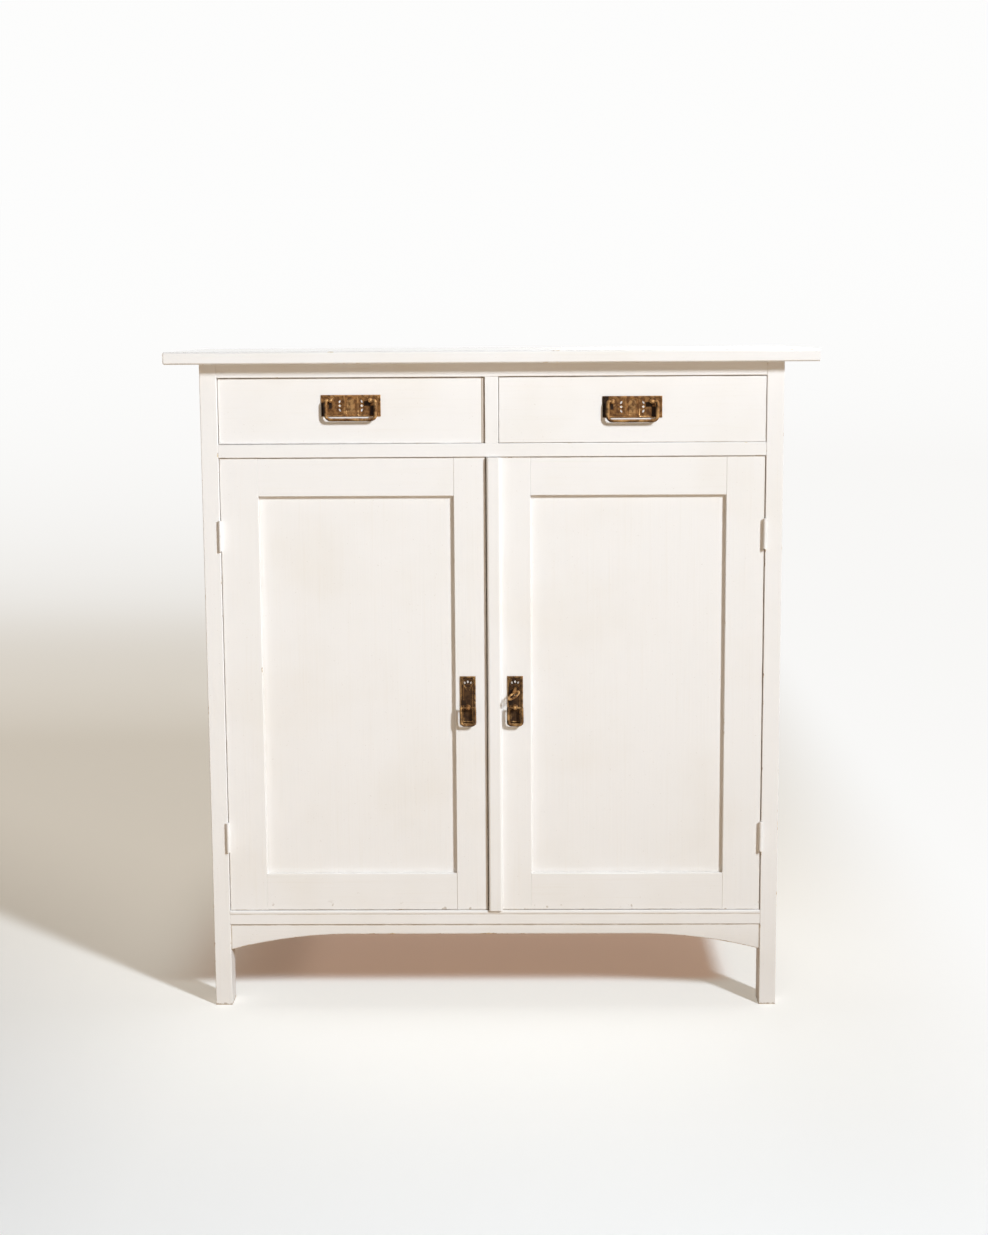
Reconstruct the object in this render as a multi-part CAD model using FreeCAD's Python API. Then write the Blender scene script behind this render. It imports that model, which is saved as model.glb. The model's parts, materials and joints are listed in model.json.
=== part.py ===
import FreeCAD, Part
import math
import os

# A painted cupboard on four square posts: two drawers side by side over two framed doors, an
# arched apron below and an overhanging top. Millimetres, +X to the right, +Y to the back, +Z up,
# origin on the floor under the middle of the top.

# Case and top
case_width = 950.0
case_depth = 440.0
case_height = 1082.0
post_width = 28.0
post_depth = 44.0
top_thickness = 20.0
top_side_overhang = 54.0
top_front_overhang = 30.0
top_back_overhang = 10.0
top_edge_chamfer = 2.0

# Front frame
top_rail_height = 22.5
drawer_opening_height = 108.0
drawer_rail_height = 22.0
bottom_rail_height = 24.0
bottom_rail_base = 141.0
front_rail_depth = 60.0
divider_width = 22.0
divider_depth = 40.0
apron_thickness = 20.0
apron_setback = 2.0
apron_crown_height = 18.0
apron_end_height = 44.5
apron_curve_run = 205.0

# Joinery
tenon_length = 16.0
tenon_shoulder = 6.0
tenon_wall = 4.0
stub_tenon_length = 8.0
joint_clearance = 0.15
groove_depth = 8.0
panel_expansion = 1.0

# Sides and back
side_setback = 3.0
side_top_rail_height = 146.0
side_bottom_rail_height = 73.0
side_panel_thickness = 8.0
side_panel_setback = 8.0
back_board_thickness = 12.0
back_board_count = 8
back_board_gap = 0.5
back_rebate_width = 10.0
back_tongue_length = 5.0
back_tongue_thickness = 4.0
back_tongue_clearance = 0.25
back_rail_thickness = 20.0
back_top_rail_height = 60.0
back_middle_rail_height = 46.0
back_bottom_rail_height = 65.0

# Inside
floor_thickness = 18.0
floor_lip = 8.0
floor_end_clearance = 0.5
shelf_count = 2
shelf_thickness = 18.0
shelf_setback = 30.0
shelf_end_clearance = 1.0
cleat_height = 25.0
cleat_thickness = 18.0
cleat_post_overlap = 20.0
runner_width = 26.0
centre_runner_width = 70.0
guide_height = 30.0

# Drawers
drawer_recess = 1.5
left_drawer_push = 3.0
drawer_side_gap = 0.7
drawer_top_gap = 0.8
drawer_bottom_gap = 0.5
drawer_run_clearance = 0.2
drawer_rear_space = 13.0
drawer_front_thickness = 20.0
drawer_front_lap = 6.0
drawer_wall = 12.0
drawer_side_drop = 4.0
drawer_back_drop = 6.0
drawer_bottom_thickness = 6.0
drawer_bottom_rise = 8.0
drawer_groove_depth = 5.5
drawer_groove_clearance = 0.1
tail_count = 3
tail_share = 0.62
tail_slope = 0.14

# Doors
door_recess = 3.0
door_thickness = 21.0
door_gap = 0.7
door_stop_clearance = 0.5
meeting_gap = 1.5
stile_width = 63.0
door_rail_height = 63.0
door_panel_thickness = 7.0
door_panel_setback = 8.0
door_tenon_length = 34.0
meeting_edge = 9.0
strip_width = 23.0
strip_thickness = 9.0
strip_radius = 4.0

# Butt hinges
hinge_height = 50.0
hinge_inset = 127.0
hinge_leaf_thickness = 1.6
hinge_leaf_depth = 18.0
hinge_leaf_gap = 0.4
hinge_barrel_radius = 2.8
hinge_barrel_stand = 2.9
hinge_pin_radius = 1.3
hinge_pin_clearance = 0.05
hinge_knuckle_count = 2
hinge_knuckle_gap = 0.3

# Brass plates and their hanging handles
plate_thickness = 1.8
plate_rim = 2.2
plate_relief = 0.6
piercing_depth_spare = 1.0
pull_width = 97.0
pull_height = 35.0
pull_panel_width = 24.0
pull_hole_offset = 18.0
pull_hole_pitch = 7.0
pull_diamond_width = 3.4
pull_petal_height = 6.0
pull_petal_bulge = 1.5
pull_petal_tilt = 30.0
pull_post_offset = 32.0
pull_post_drop = 8.5
left_pull_rise = 8.4
right_pull_rise = 4.4
bail_reach = 8.5
bail_drop = 31.5
bail_bar_width = 5.4
bail_bend_radius = 7.0
door_plate_width = 26.0
door_plate_height = 82.0
door_plate_rise = 318.3
left_plate_offset = 42.0
right_plate_offset = 36.5
door_arch_width = 14.0
door_arch_line = 1.4
door_arch_channel = 2.4
door_arch_drop = 13.0
door_hole_drop = 9.4
door_hole_offset = 5.4
door_hole_sag = 1.4
door_petal_height = 4.6
door_petal_bulge = 1.7
drop_post_rise = 30.0
drop_half_width = 11.5
drop_length = 29.0
drop_bar_width = 4.8
drop_bend_radius = 5.0
post_stand = 8.0
post_nose = 3.5
post_head_width = 7.0
post_chamfer = 1.3
spigot_width = 4.0
spigot_clearance = 0.15
pivot_radius = 1.5
pivot_clearance = 0.05

# Lock, key and the left door's bolt
key_drop = 20.0
key_stem_radius = 2.4
key_hole_clearance = 0.6
key_slot_width = 3.2
key_slot_length = 12.5
key_bit_reach = 11.0
key_bit_depth = 7.0
key_bit_thickness = 2.4
key_bow_width = 22.0
key_bow_length = 19.0
key_bow_rod = 3.6
key_front_margin = 2.0
key_rest_tilt = 62.0
key_tip_clearance = 1.5
lock_width = 64.0
lock_edge_margin = 1.0
lock_depth = 13.0
lock_below = 18.0
lock_above = 27.0
lock_wall = 1.5
lock_bolt_rise = 12.5
lock_bolt_height = 10.0
lock_bolt_thickness = 6.0
lock_bolt_length = 46.0
lock_bolt_clearance = 0.3
lock_bolt_hiding = 0.4
lock_notch_width = 8.0
lock_notch_depth = 4.0
door_bolt_width = 10.0
door_bolt_thickness = 4.0
door_bolt_length = 110.0
door_bolt_travel = 14.0
door_bolt_clearance = 0.4
door_bolt_hiding = 1.5
door_bolt_knob_radius = 3.5
door_bolt_knob_length = 9.0
bolt_plate_width = 24.0
bolt_plate_height = 76.0
bolt_plate_thickness = 1.5
bolt_bridge_height = 12.0
bolt_bridge_wall = 1.5

# Places that follow from the sizes
Vector = FreeCAD.Vector
half_width = case_width / 2
post_inner = half_width - post_width
front_y = top_front_overhang - (top_front_overhang + case_depth + top_back_overhang) / 2
back_y = front_y + case_depth
front_post_back = front_y + post_depth
rear_post_front = back_y - post_depth
post_x = (post_inner, half_width)
front_post_y = (front_y, front_post_back)
rear_post_y = (rear_post_front, back_y)
between_posts_x = (-post_inner, post_inner)
between_posts_y = (front_post_back, rear_post_front)

bottom_rail_z = (bottom_rail_base, bottom_rail_base + bottom_rail_height)
top_rail_z = (case_height - top_rail_height, case_height)
drawer_z = (top_rail_z[0] - drawer_opening_height, top_rail_z[0])
drawer_rail_z = (drawer_z[0] - drawer_rail_height, drawer_z[0])
door_opening_z = (bottom_rail_z[1], drawer_rail_z[0])
front_rail_y = (front_y, front_y + front_rail_depth)
bottom_rail_y = (front_y, front_y + post_depth)
divider_x = (-divider_width / 2, divider_width / 2)
divider_y = (front_y, front_y + divider_depth)
apron_y = (front_y + apron_setback, front_y + apron_setback + apron_thickness)
apron_z = (bottom_rail_z[0] - apron_end_height, bottom_rail_z[0])

front_tenon_start = front_y + tenon_shoulder
front_tenon_y = (front_tenon_start, front_post_back - tenon_length - tenon_wall)

side_x = (post_inner, half_width - side_setback)
side_panel_x = (side_x[1] - side_panel_setback - side_panel_thickness, side_x[1] - side_panel_setback)
side_top_z = (case_height - side_top_rail_height, case_height)
floor_top = bottom_rail_z[1] + floor_lip
side_bottom_z = (floor_top - side_bottom_rail_height, floor_top)
side_opening_z = (side_bottom_z[1], side_top_z[0])

back_board_y = (back_y - back_board_thickness, back_y)
back_rail_y = (back_board_y[0] - back_rail_thickness, back_board_y[0])
back_top_z = (case_height - back_top_rail_height, case_height)
back_middle_z = (drawer_z[0] - back_middle_rail_height, drawer_z[0])
back_bottom_z = (bottom_rail_z[1] - back_bottom_rail_height, bottom_rail_z[1])
back_board_z = (back_bottom_z[0], case_height)

door_front = front_y + door_recess
door_back = door_front + door_thickness
door_z = (door_opening_z[0] + door_gap, door_opening_z[1] - door_gap)
door_hinge_edge = post_inner - door_gap
panel_x = (stile_width, door_hinge_edge - stile_width)
panel_z = (door_z[0] + door_rail_height, door_z[1] - door_rail_height)
door_panel_y = (door_front + door_panel_setback, door_front + door_panel_setback + door_panel_thickness)
right_meeting_edge = -meeting_edge
left_meeting_edge = meeting_edge + meeting_gap
strip_x = (right_meeting_edge, right_meeting_edge + strip_width)

floor_front = door_back + door_stop_clearance
shelf_y = (door_back + shelf_setback, back_board_y[0] - shelf_end_clearance)

hinge_x = post_inner - door_gap / 2
hinge_y = front_y - hinge_barrel_stand
hinge_centres = (door_z[0] + hinge_inset, door_z[1] - hinge_inset)

drawer_x = (divider_x[1] + drawer_side_gap, post_inner - drawer_side_gap)
drawer_front_y = (front_y + drawer_recess, front_y + drawer_recess + drawer_front_thickness)
drawer_front_z = (drawer_z[0] + drawer_bottom_gap, drawer_z[1] - drawer_top_gap)
drawer_side_z = (drawer_z[0] + drawer_run_clearance, drawer_z[1] - drawer_side_drop)
drawer_end_y = back_rail_y[0] - drawer_rear_space
drawer_floor_z = (
    drawer_side_z[0] + drawer_bottom_rise,
    drawer_side_z[0] + drawer_bottom_rise + drawer_bottom_thickness,
)
drawer_back_y = (drawer_end_y - drawer_wall, drawer_end_y)
drawer_back_z = (drawer_floor_z[1], drawer_side_z[1] - drawer_back_drop)
pull_centre_x = (drawer_x[0] + drawer_x[1]) / 2
pull_middle_z = (drawer_front_z[0] + drawer_front_z[1]) / 2
pull_pivot_rise = pull_height / 2 - pull_post_drop
plate_panel_margin = 2 * plate_rim

door_plate_z = (door_z[0] + door_plate_rise, door_z[0] + door_plate_rise + door_plate_height)
drop_pivot_z = door_plate_z[0] + drop_post_rise
key_z = door_plate_z[1] - key_drop
key_x = right_plate_offset
lock_x = (right_meeting_edge + lock_edge_margin, right_meeting_edge + lock_edge_margin + lock_width)
lock_y = (door_back, door_back + lock_depth)
lock_z = (key_z - lock_below, key_z + lock_above)
lock_middle_y = (lock_y[0] + lock_y[1]) / 2
bolt_plate_y = (door_back, door_back + bolt_plate_thickness)
door_bolt_x = (left_plate_offset - door_bolt_width / 2, left_plate_offset + door_bolt_width / 2)
door_bolt_y = (
    bolt_plate_y[1] + door_bolt_clearance,
    bolt_plate_y[1] + door_bolt_clearance + door_bolt_thickness,
)
door_bolt_z = (door_z[1] - door_bolt_hiding - door_bolt_length, door_z[1] - door_bolt_hiding)


def block(x, y, z, spare=0.0):
    """A block between three spans, grown by spare on every side."""
    corner = Vector(x[0] - spare, y[0] - spare, z[0] - spare)
    grown = 2 * spare
    return Part.makeBox(x[1] - x[0] + grown, y[1] - y[0] + grown, z[1] - z[0] + grown, corner)


def inset(span, margin):
    """A span shortened by margin at both ends."""
    return (span[0] + margin, span[1] - margin)


def around(centre, size):
    """A span of the given size with its middle at centre."""
    return (centre - size / 2, centre + size / 2)


def mirrored(shape):
    """The same piece on the other side of the middle plane."""
    return shape.mirror(Vector(0, 0, 0), Vector(1, 0, 0))


def joined(pieces):
    """One solid from pieces that touch or cross."""
    return pieces[0].fuse(pieces[1:]).removeSplitter()


def rod(radius, start, end):
    """A round rod between two points."""
    along = end - start
    return Part.makeCylinder(radius, along.Length, start, along)


def prism(edges, y):
    """A closed outline in a plane across Y, carried from one Y to the other."""
    face = Part.Face(Part.Wire(edges))
    return face.extrude(Vector(0, y[1] - y[0], 0))


# Top
def make_top_board():
    """The overhanging top, with its edges and corners taken off all round."""
    side = half_width + top_side_overhang
    board_y = (front_y - top_front_overhang, back_y + top_back_overhang)
    board = block((-side, side), board_y, (case_height, case_height + top_thickness))
    return board.makeChamfer(top_edge_chamfer, board.Edges)


# Front frame
def front_tenon(rail_z):
    """Spans of the tenon that a front rail has at its right end."""
    return ((post_inner, post_inner + tenon_length), front_tenon_y, inset(rail_z, tenon_shoulder))


def make_front_rail(rail_y, rail_z):
    """A rail between the front posts with a tenon at each end."""
    tenon = block(*front_tenon(rail_z))
    return joined([block(between_posts_x, rail_y, rail_z), tenon, mirrored(tenon)])


def divider_tenon(z):
    """Spans of a stub tenon of the drawer divider."""
    return (inset(divider_x, tenon_shoulder), inset(divider_y, tenon_shoulder), z)


divider_tenons = (
    divider_tenon((drawer_z[0] - stub_tenon_length, drawer_z[0])),
    divider_tenon((drawer_z[1], drawer_z[1] + stub_tenon_length)),
)


def make_divider():
    """The upright between the drawers, with a stub tenon up and down."""
    return joined([block(divider_x, divider_y, drawer_z)] + [block(*spans) for spans in divider_tenons])


def make_top_front_rail():
    """The rail under the top."""
    return make_front_rail(front_rail_y, top_rail_z).cut(block(*divider_tenons[1], joint_clearance))


def make_drawer_rail():
    """The rail between the drawers and the doors, with the hole for the left door's bolt."""
    rail = make_front_rail(front_rail_y, drawer_rail_z).cut(block(*divider_tenons[0], joint_clearance))
    hole_z = (drawer_rail_z[0], door_bolt_z[1] + door_bolt_travel)
    return rail.cut(mirrored(block(door_bolt_x, door_bolt_y, hole_z, door_bolt_clearance)))


def make_bottom_front_rail():
    """The rail under the doors."""
    return make_front_rail(bottom_rail_y, bottom_rail_z)


def apron_tenon():
    """Spans of the apron's tenon at its right end."""
    height = inset(apron_z, tenon_shoulder)
    return ((post_inner, post_inner + tenon_length), inset(apron_y, tenon_shoulder), height)


def make_apron():
    """The board under the bottom rail: its lower edge is level in the middle and bends down to the posts."""
    rise = apron_end_height - apron_crown_height
    radius = (apron_curve_run ** 2 + rise ** 2) / (2 * rise)
    half_angle = math.asin(apron_curve_run / radius) / 2
    crown_x = post_inner - apron_curve_run
    crown_z = apron_z[0] + rise
    bend_x = crown_x + radius * math.sin(half_angle)
    bend_z = crown_z - radius * (1 - math.cos(half_angle))
    left_head, right_head = (Vector(side * post_inner, apron_y[0], apron_z[1]) for side in (-1, 1))
    left_foot, right_foot = (Vector(side * post_inner, apron_y[0], apron_z[0]) for side in (-1, 1))
    left_bend, right_bend = (Vector(side * bend_x, apron_y[0], bend_z) for side in (-1, 1))
    left_crown, right_crown = (Vector(side * crown_x, apron_y[0], crown_z) for side in (-1, 1))
    outline = [
        Part.makeLine(left_head, right_head),
        Part.makeLine(right_head, right_foot),
        Part.Arc(right_foot, right_bend, right_crown).toShape(),
        Part.makeLine(right_crown, left_crown),
        Part.Arc(left_crown, left_bend, left_foot).toShape(),
        Part.makeLine(left_foot, left_head),
    ]
    tenon = block(*apron_tenon())
    return joined([prism(outline, apron_y), tenon, mirrored(tenon)])


# Sides
def side_tenon(rail_z, end):
    """Spans of a side rail's tenon: end 0 goes into the front post, end 1 into the rear one."""
    if end == 0:
        along = (front_post_back - tenon_length, front_post_back)
    else:
        along = (rear_post_front, rear_post_front + tenon_length)
    return (inset(side_x, tenon_shoulder), along, inset(rail_z, tenon_shoulder))


def side_panel_spans():
    """Spans of a side panel with its tongues in the grooves."""
    tongue = groove_depth - panel_expansion
    return (side_panel_x, inset(between_posts_y, -tongue), inset(side_opening_z, -tongue))


def side_groove():
    """The groove round the inside of a side frame, as one block."""
    y = inset(between_posts_y, -groove_depth)
    return block(side_panel_x, y, inset(side_opening_z, -groove_depth))


def make_side_rail(rail_z):
    """A side rail with its tenons and the groove for the panel."""
    tenons = [block(*side_tenon(rail_z, end)) for end in (0, 1)]
    return joined([block(side_x, between_posts_y, rail_z)] + tenons).cut(side_groove())


def make_side_rails():
    """The wide rail beside the drawers and the rail beside the floor."""
    return [make_side_rail(side_top_z), make_side_rail(side_bottom_z)]


def make_side_panel():
    """The flat panel in the side frame."""
    return block(*side_panel_spans())


# Back
def back_tenon(rail_z):
    """Spans of a back rail's tenon at its right end."""
    y = inset(back_rail_y, tenon_shoulder)
    return ((post_inner, post_inner + tenon_length), y, inset(rail_z, tenon_shoulder))


def make_back_rails():
    """Three rails between the rear posts, which carry the back boards and the runners."""
    rails = []
    for rail_z in (back_top_z, back_middle_z, back_bottom_z):
        tenon = block(*back_tenon(rail_z))
        rails.append(joined([block(between_posts_x, back_rail_y, rail_z), tenon, mirrored(tenon)]))
    return rails


def make_back_boards():
    """Upright boards, tongued and grooved, lying in the rear posts' rebates."""
    reach = post_inner + back_rebate_width - back_board_gap
    pitch = (2 * reach + back_board_gap) / back_board_count
    tongue_y = around((back_board_y[0] + back_board_y[1]) / 2, back_tongue_thickness)
    groove_y = inset(tongue_y, -back_tongue_clearance)
    groove_reach = back_tongue_length - back_board_gap + back_tongue_clearance
    boards = []
    for number in range(back_board_count):
        left = -reach + number * pitch
        right = left + pitch - back_board_gap
        board = block((left, right), back_board_y, back_board_z)
        if number < back_board_count - 1:
            tongue = block((right, right + back_tongue_length), tongue_y, back_board_z)
            board = joined([board, tongue])
        if number > 0:
            board = board.cut(block((left, left + groove_reach), groove_y, back_board_z))
        boards.append(board)
    return boards


# Posts
def hinge_recesses(leaf_x):
    """The shallow beds that the hinge leaves lie in."""
    y = (front_y, front_y + hinge_leaf_depth + joint_clearance)
    height = hinge_height + 2 * joint_clearance
    return [block(leaf_x, y, around(centre, height)) for centre in hinge_centres]


def make_front_post():
    """The right front post with its mortises, panel groove and hinge beds."""
    post = block(post_x, front_post_y, (0, case_height))
    mortises = [front_tenon(z) for z in (top_rail_z, drawer_rail_z, bottom_rail_z)]
    mortises += [apron_tenon(), side_tenon(side_top_z, 0), side_tenon(side_bottom_z, 0)]
    cuts = [block(*spans, joint_clearance) for spans in mortises]
    return post.cut(cuts + [side_groove()] + hinge_recesses(post_leaf_x))


def make_rear_post():
    """The right rear post with its mortises, panel groove and the rebate for the back boards."""
    post = block(post_x, rear_post_y, (0, case_height))
    mortises = [back_tenon(z) for z in (back_top_z, back_middle_z, back_bottom_z)]
    mortises += [side_tenon(side_top_z, 1), side_tenon(side_bottom_z, 1)]
    cuts = [block(*spans, joint_clearance) for spans in mortises]
    rebate = block((post_inner, post_inner + back_rebate_width), back_board_y, back_board_z)
    return post.cut(cuts + [side_groove(), rebate])


# Inside
def make_floor():
    """The cupboard floor, lapped over the front and back rails; its front edge stops the doors."""
    x = inset(between_posts_x, floor_end_clearance)
    board = block(x, (floor_front, back_board_y[0]), (floor_top - floor_thickness, floor_top))
    under_front = block(between_posts_x, bottom_rail_y, bottom_rail_z)
    under_back = block(between_posts_x, back_rail_y, back_bottom_z)
    return board.cut([under_front, under_back])


def shelf_tops():
    """Heights of the shelves' upper faces, spread evenly up the cupboard."""
    pitch = (drawer_rail_z[0] - floor_top) / (shelf_count + 1)
    return [floor_top + pitch * (number + 1) for number in range(shelf_count)]


def make_shelves():
    """Plain boards lying on the cleats."""
    x = inset(between_posts_x, shelf_end_clearance)
    return [block(x, shelf_y, (top - shelf_thickness, top)) for top in shelf_tops()]


def make_shelf_cleats():
    """Battens fixed to the posts under each end of the shelves."""
    x = (post_inner - cleat_thickness, post_inner)
    y = inset(between_posts_y, -cleat_post_overlap)
    cleats = []
    for top in shelf_tops():
        under = top - shelf_thickness
        cleat = block(x, y, (under - cleat_height, under))
        cleats += [cleat, mirrored(cleat)]
    return cleats


def make_battens(z):
    """Three battens from the front rail to the back rail: one at each side, one in the middle."""
    y = (front_rail_y[1], back_rail_y[0])
    outer = block((post_inner - runner_width, post_inner), y, z)
    middle = block(around(0, centre_runner_width), y, z)
    return [outer, mirrored(outer), middle]


def make_drawer_guide():
    """The batten on the middle runner that keeps the two drawers apart."""
    y = (divider_y[1], back_rail_y[0])
    return block(divider_x, y, (drawer_z[0], drawer_z[0] + guide_height))


# Drawers
def tails(x, y, z, wide_at_front, spare=0.0):
    """Dovetails on a drawer side between two depths, wide at one end and spread up the height."""
    pitch = (z[1] - z[0]) / tail_count
    flare = tail_slope * (y[1] - y[0])
    wide = pitch * tail_share / 2 + spare
    narrow = wide - flare
    front_half, back_half = (wide, narrow) if wide_at_front else (narrow, wide)
    shapes = []
    for number in range(tail_count):
        centre = z[0] + pitch * (number + 0.5)
        outline = Part.makePolygon([
            Vector(x[0], y[0], centre - front_half),
            Vector(x[0], y[1], centre - back_half),
            Vector(x[0], y[1], centre + back_half),
            Vector(x[0], y[0], centre + front_half),
            Vector(x[0], y[0], centre - front_half),
        ])
        shapes.append(Part.Face(outline).extrude(Vector(x[1] - x[0], 0, 0)))
    return shapes


drawer_side_spans = (
    (drawer_x[0], drawer_x[0] + drawer_wall),
    (drawer_x[1] - drawer_wall, drawer_x[1]),
)
front_tail_y = (drawer_front_y[0] + drawer_front_lap, drawer_front_y[1])
drawer_inside_x = (drawer_side_spans[0][1], drawer_side_spans[1][0])


def drawer_groove():
    """The groove for the drawer bottom in the front and both sides, as one block."""
    x = inset(drawer_inside_x, -drawer_groove_depth)
    y = (drawer_front_y[1] - drawer_groove_depth, drawer_end_y)
    return block(x, y, (drawer_floor_z[0], drawer_floor_z[1] + drawer_groove_clearance))


def make_drawer_front():
    """The front board with dovetail sockets and the groove for the bottom."""
    board = block(drawer_x, drawer_front_y, drawer_front_z)
    cuts = [drawer_groove()]
    for x in drawer_side_spans:
        cuts += tails(x, front_tail_y, drawer_side_z, True, joint_clearance)
    return board.cut(cuts)


def make_drawer_sides():
    """Two sides with tails at the front, and tails at the back that pass between the back's pins."""
    sides = []
    for x in drawer_side_spans:
        board = block(x, (drawer_front_y[1], drawer_end_y), drawer_side_z)
        side = joined([board] + tails(x, front_tail_y, drawer_side_z, True))
        pins = block(x, drawer_back_y, drawer_back_z).cut(tails(x, drawer_back_y, drawer_back_z, False))
        sides.append(side.cut([pins, drawer_groove()]))
    return sides


def make_drawer_back():
    """The back board, standing on the bottom, with sockets for the sides' tails."""
    board = block(drawer_x, drawer_back_y, drawer_back_z)
    cuts = []
    for x in drawer_side_spans:
        cuts += tails(x, drawer_back_y, drawer_back_z, False, joint_clearance)
    return board.cut(cuts)


def make_drawer_bottom():
    """The thin bottom, held in grooves on three sides and running out under the back."""
    tongue = drawer_groove_depth - panel_expansion
    return block(inset(drawer_inside_x, -tongue), (drawer_front_y[1] - tongue, drawer_end_y), drawer_floor_z)


# Hanging handles
def post_pivot(x, face_y, z):
    """The point in front of a face that a post's bore passes through."""
    return Vector(x, face_y - plate_thickness - post_stand, z)


def spigot(x, y, z, spare=0.0):
    """The square foot that a post is riveted through its plate with."""
    return block(around(x, spigot_width), y, around(z, spigot_width), spare)


def make_handle_post(x, face_y, z):
    """A cast post: a square head with its nose chamfered, bored across, on a spigot."""
    pivot = post_pivot(x, face_y, z)
    foot_y = face_y - plate_thickness + plate_relief
    nose_y = pivot.y - post_nose
    head = block(around(x, post_head_width), (nose_y, foot_y), around(z, post_head_width))
    nose_edges = [edge for edge in head.Edges if edge.BoundBox.YMax < nose_y + post_chamfer]
    head = head.makeChamfer(post_chamfer, nose_edges)
    across = Vector(post_head_width, 0, 0)
    bore = rod(pivot_radius + pivot_clearance, pivot - across, pivot + across)
    return joined([head, spigot(x, (foot_y, face_y), z)]).cut(bore)


def round_footed(x, y, z, radius):
    """A block with its two lower corners rounded, as seen from the front."""
    shape = block(x, y, z)
    corners = [
        edge for edge in shape.Edges
        if edge.BoundBox.XLength < radius / 2 and edge.BoundBox.ZMax < z[0] + radius / 2
    ]
    return shape.makeFillet(radius, corners)


def make_loop(pivot, half_span, drop, bar_width, bend):
    """A square bar bent to a U: an arm down from the pivot at each side and a bar between them."""
    outer_x = around(pivot.x, 2 * half_span + bar_width)
    y = around(pivot.y, bar_width)
    z = (pivot.z - drop - bar_width / 2, pivot.z + bar_width / 2)
    outer = round_footed(outer_x, y, z, bend + bar_width / 2)
    inner = round_footed(inset(outer_x, bar_width), y, (z[0] + bar_width, z[1]), bend - bar_width / 2)
    return outer.cut(inner)


def petal(x, z, height, bulge, tilt, y):
    """A leaf-shaped piercing between two arcs, turned by tilt degrees."""
    low = Vector(x, y[0], z - height / 2)
    high = Vector(x, y[0], z + height / 2)
    outline = [
        Part.Arc(low, Vector(x - bulge, y[0], z), high).toShape(),
        Part.Arc(high, Vector(x + bulge, y[0], z), low).toShape(),
    ]
    shape = prism(outline, y)
    shape.rotate(Vector(x, 0, z), Vector(0, 1, 0), tilt)
    return shape


def arched(x, z, y):
    """A block with a round head, between the given spans."""
    radius = (x[1] - x[0]) / 2
    shoulder = z[1] - radius
    left_foot = Vector(x[0], y[0], z[0])
    right_foot = Vector(x[1], y[0], z[0])
    right_spring = Vector(x[1], y[0], shoulder)
    left_spring = Vector(x[0], y[0], shoulder)
    crown = Vector(x[0] + radius, y[0], z[1])
    outline = [
        Part.makeLine(left_foot, right_foot),
        Part.makeLine(right_foot, right_spring),
        Part.Arc(right_spring, crown, left_spring).toShape(),
        Part.makeLine(left_spring, left_foot),
    ]
    return prism(outline, y)


def plate_blank(x, z, face_y):
    """A brass plate with a raised rim, lying on a face that looks to the front."""
    blank = block(x, (face_y - plate_thickness, face_y), z)
    field_y = (face_y - plate_thickness, face_y - plate_thickness + plate_relief)
    return blank, block(inset(x, plate_rim), field_y, inset(z, plate_rim))


def make_pull_plate(centre_x, centre_z):
    """The drawer's plate: a raised middle with an arched sunk panel and two columns of piercings."""
    x = around(centre_x, pull_width)
    z = around(centre_z, pull_height)
    face_y = drawer_front_y[0]
    blank, field = plate_blank(x, z, face_y)
    relief_y = (face_y - plate_thickness, face_y - plate_thickness + plate_relief)
    through = inset((face_y - plate_thickness, face_y), -piercing_depth_spare)
    middle_x = around(centre_x, pull_panel_width)
    sunk = arched(inset(middle_x, plate_panel_margin), inset(z, plate_panel_margin), relief_y)
    cuts = [field.cut(block(middle_x, relief_y, z)), sunk]
    for side in (-1, 1):
        hole_x = centre_x + side * pull_hole_offset
        diamond = block(around(hole_x, pull_diamond_width), through, around(centre_z, pull_diamond_width))
        diamond.rotate(Vector(hole_x, 0, centre_z), Vector(0, 1, 0), 45)
        cuts.append(diamond)
        for level in (-1, 1):
            hole_z = centre_z + level * pull_hole_pitch
            tilt = -side * level * pull_petal_tilt
            cuts.append(petal(hole_x, hole_z, pull_petal_height, pull_petal_bulge, tilt, through))
        post_x = centre_x + side * pull_post_offset
        cuts.append(spigot(post_x, through, centre_z + pull_pivot_rise, spigot_clearance))
    return blank.cut(cuts)


def make_pull_posts(centre_x, centre_z):
    """Both posts of a drawer pull."""
    z = centre_z + pull_pivot_rise
    return [make_handle_post(x, drawer_front_y[0], z) for x in around(centre_x, 2 * pull_post_offset)]


def make_pull_bail(centre_x, centre_z):
    """The drawer's bail, with a pin from each arm through its post."""
    pivot = post_pivot(centre_x, drawer_front_y[0], centre_z + pull_pivot_rise)
    half_span = pull_post_offset + bail_reach
    pieces = [make_loop(pivot, half_span, bail_drop, bail_bar_width, bail_bend_radius)]
    for side in (-1, 1):
        outer_end = pivot + Vector(side * half_span, 0, 0)
        inner_end = pivot + Vector(side * (pull_post_offset - post_head_width / 2), 0, 0)
        pieces.append(rod(pivot_radius, outer_end, inner_end))
    return joined(pieces)


def key_hole(x, y, spare):
    """A keyhole: a round eye with a slot below it."""
    eye_radius = key_stem_radius + key_hole_clearance + spare
    eye = rod(eye_radius, Vector(x, y[0], key_z), Vector(x, y[1], key_z))
    slot_z = (key_z - key_slot_length - spare, key_z)
    return joined([eye, block(around(x, key_slot_width + 2 * spare), y, slot_z)])


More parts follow.
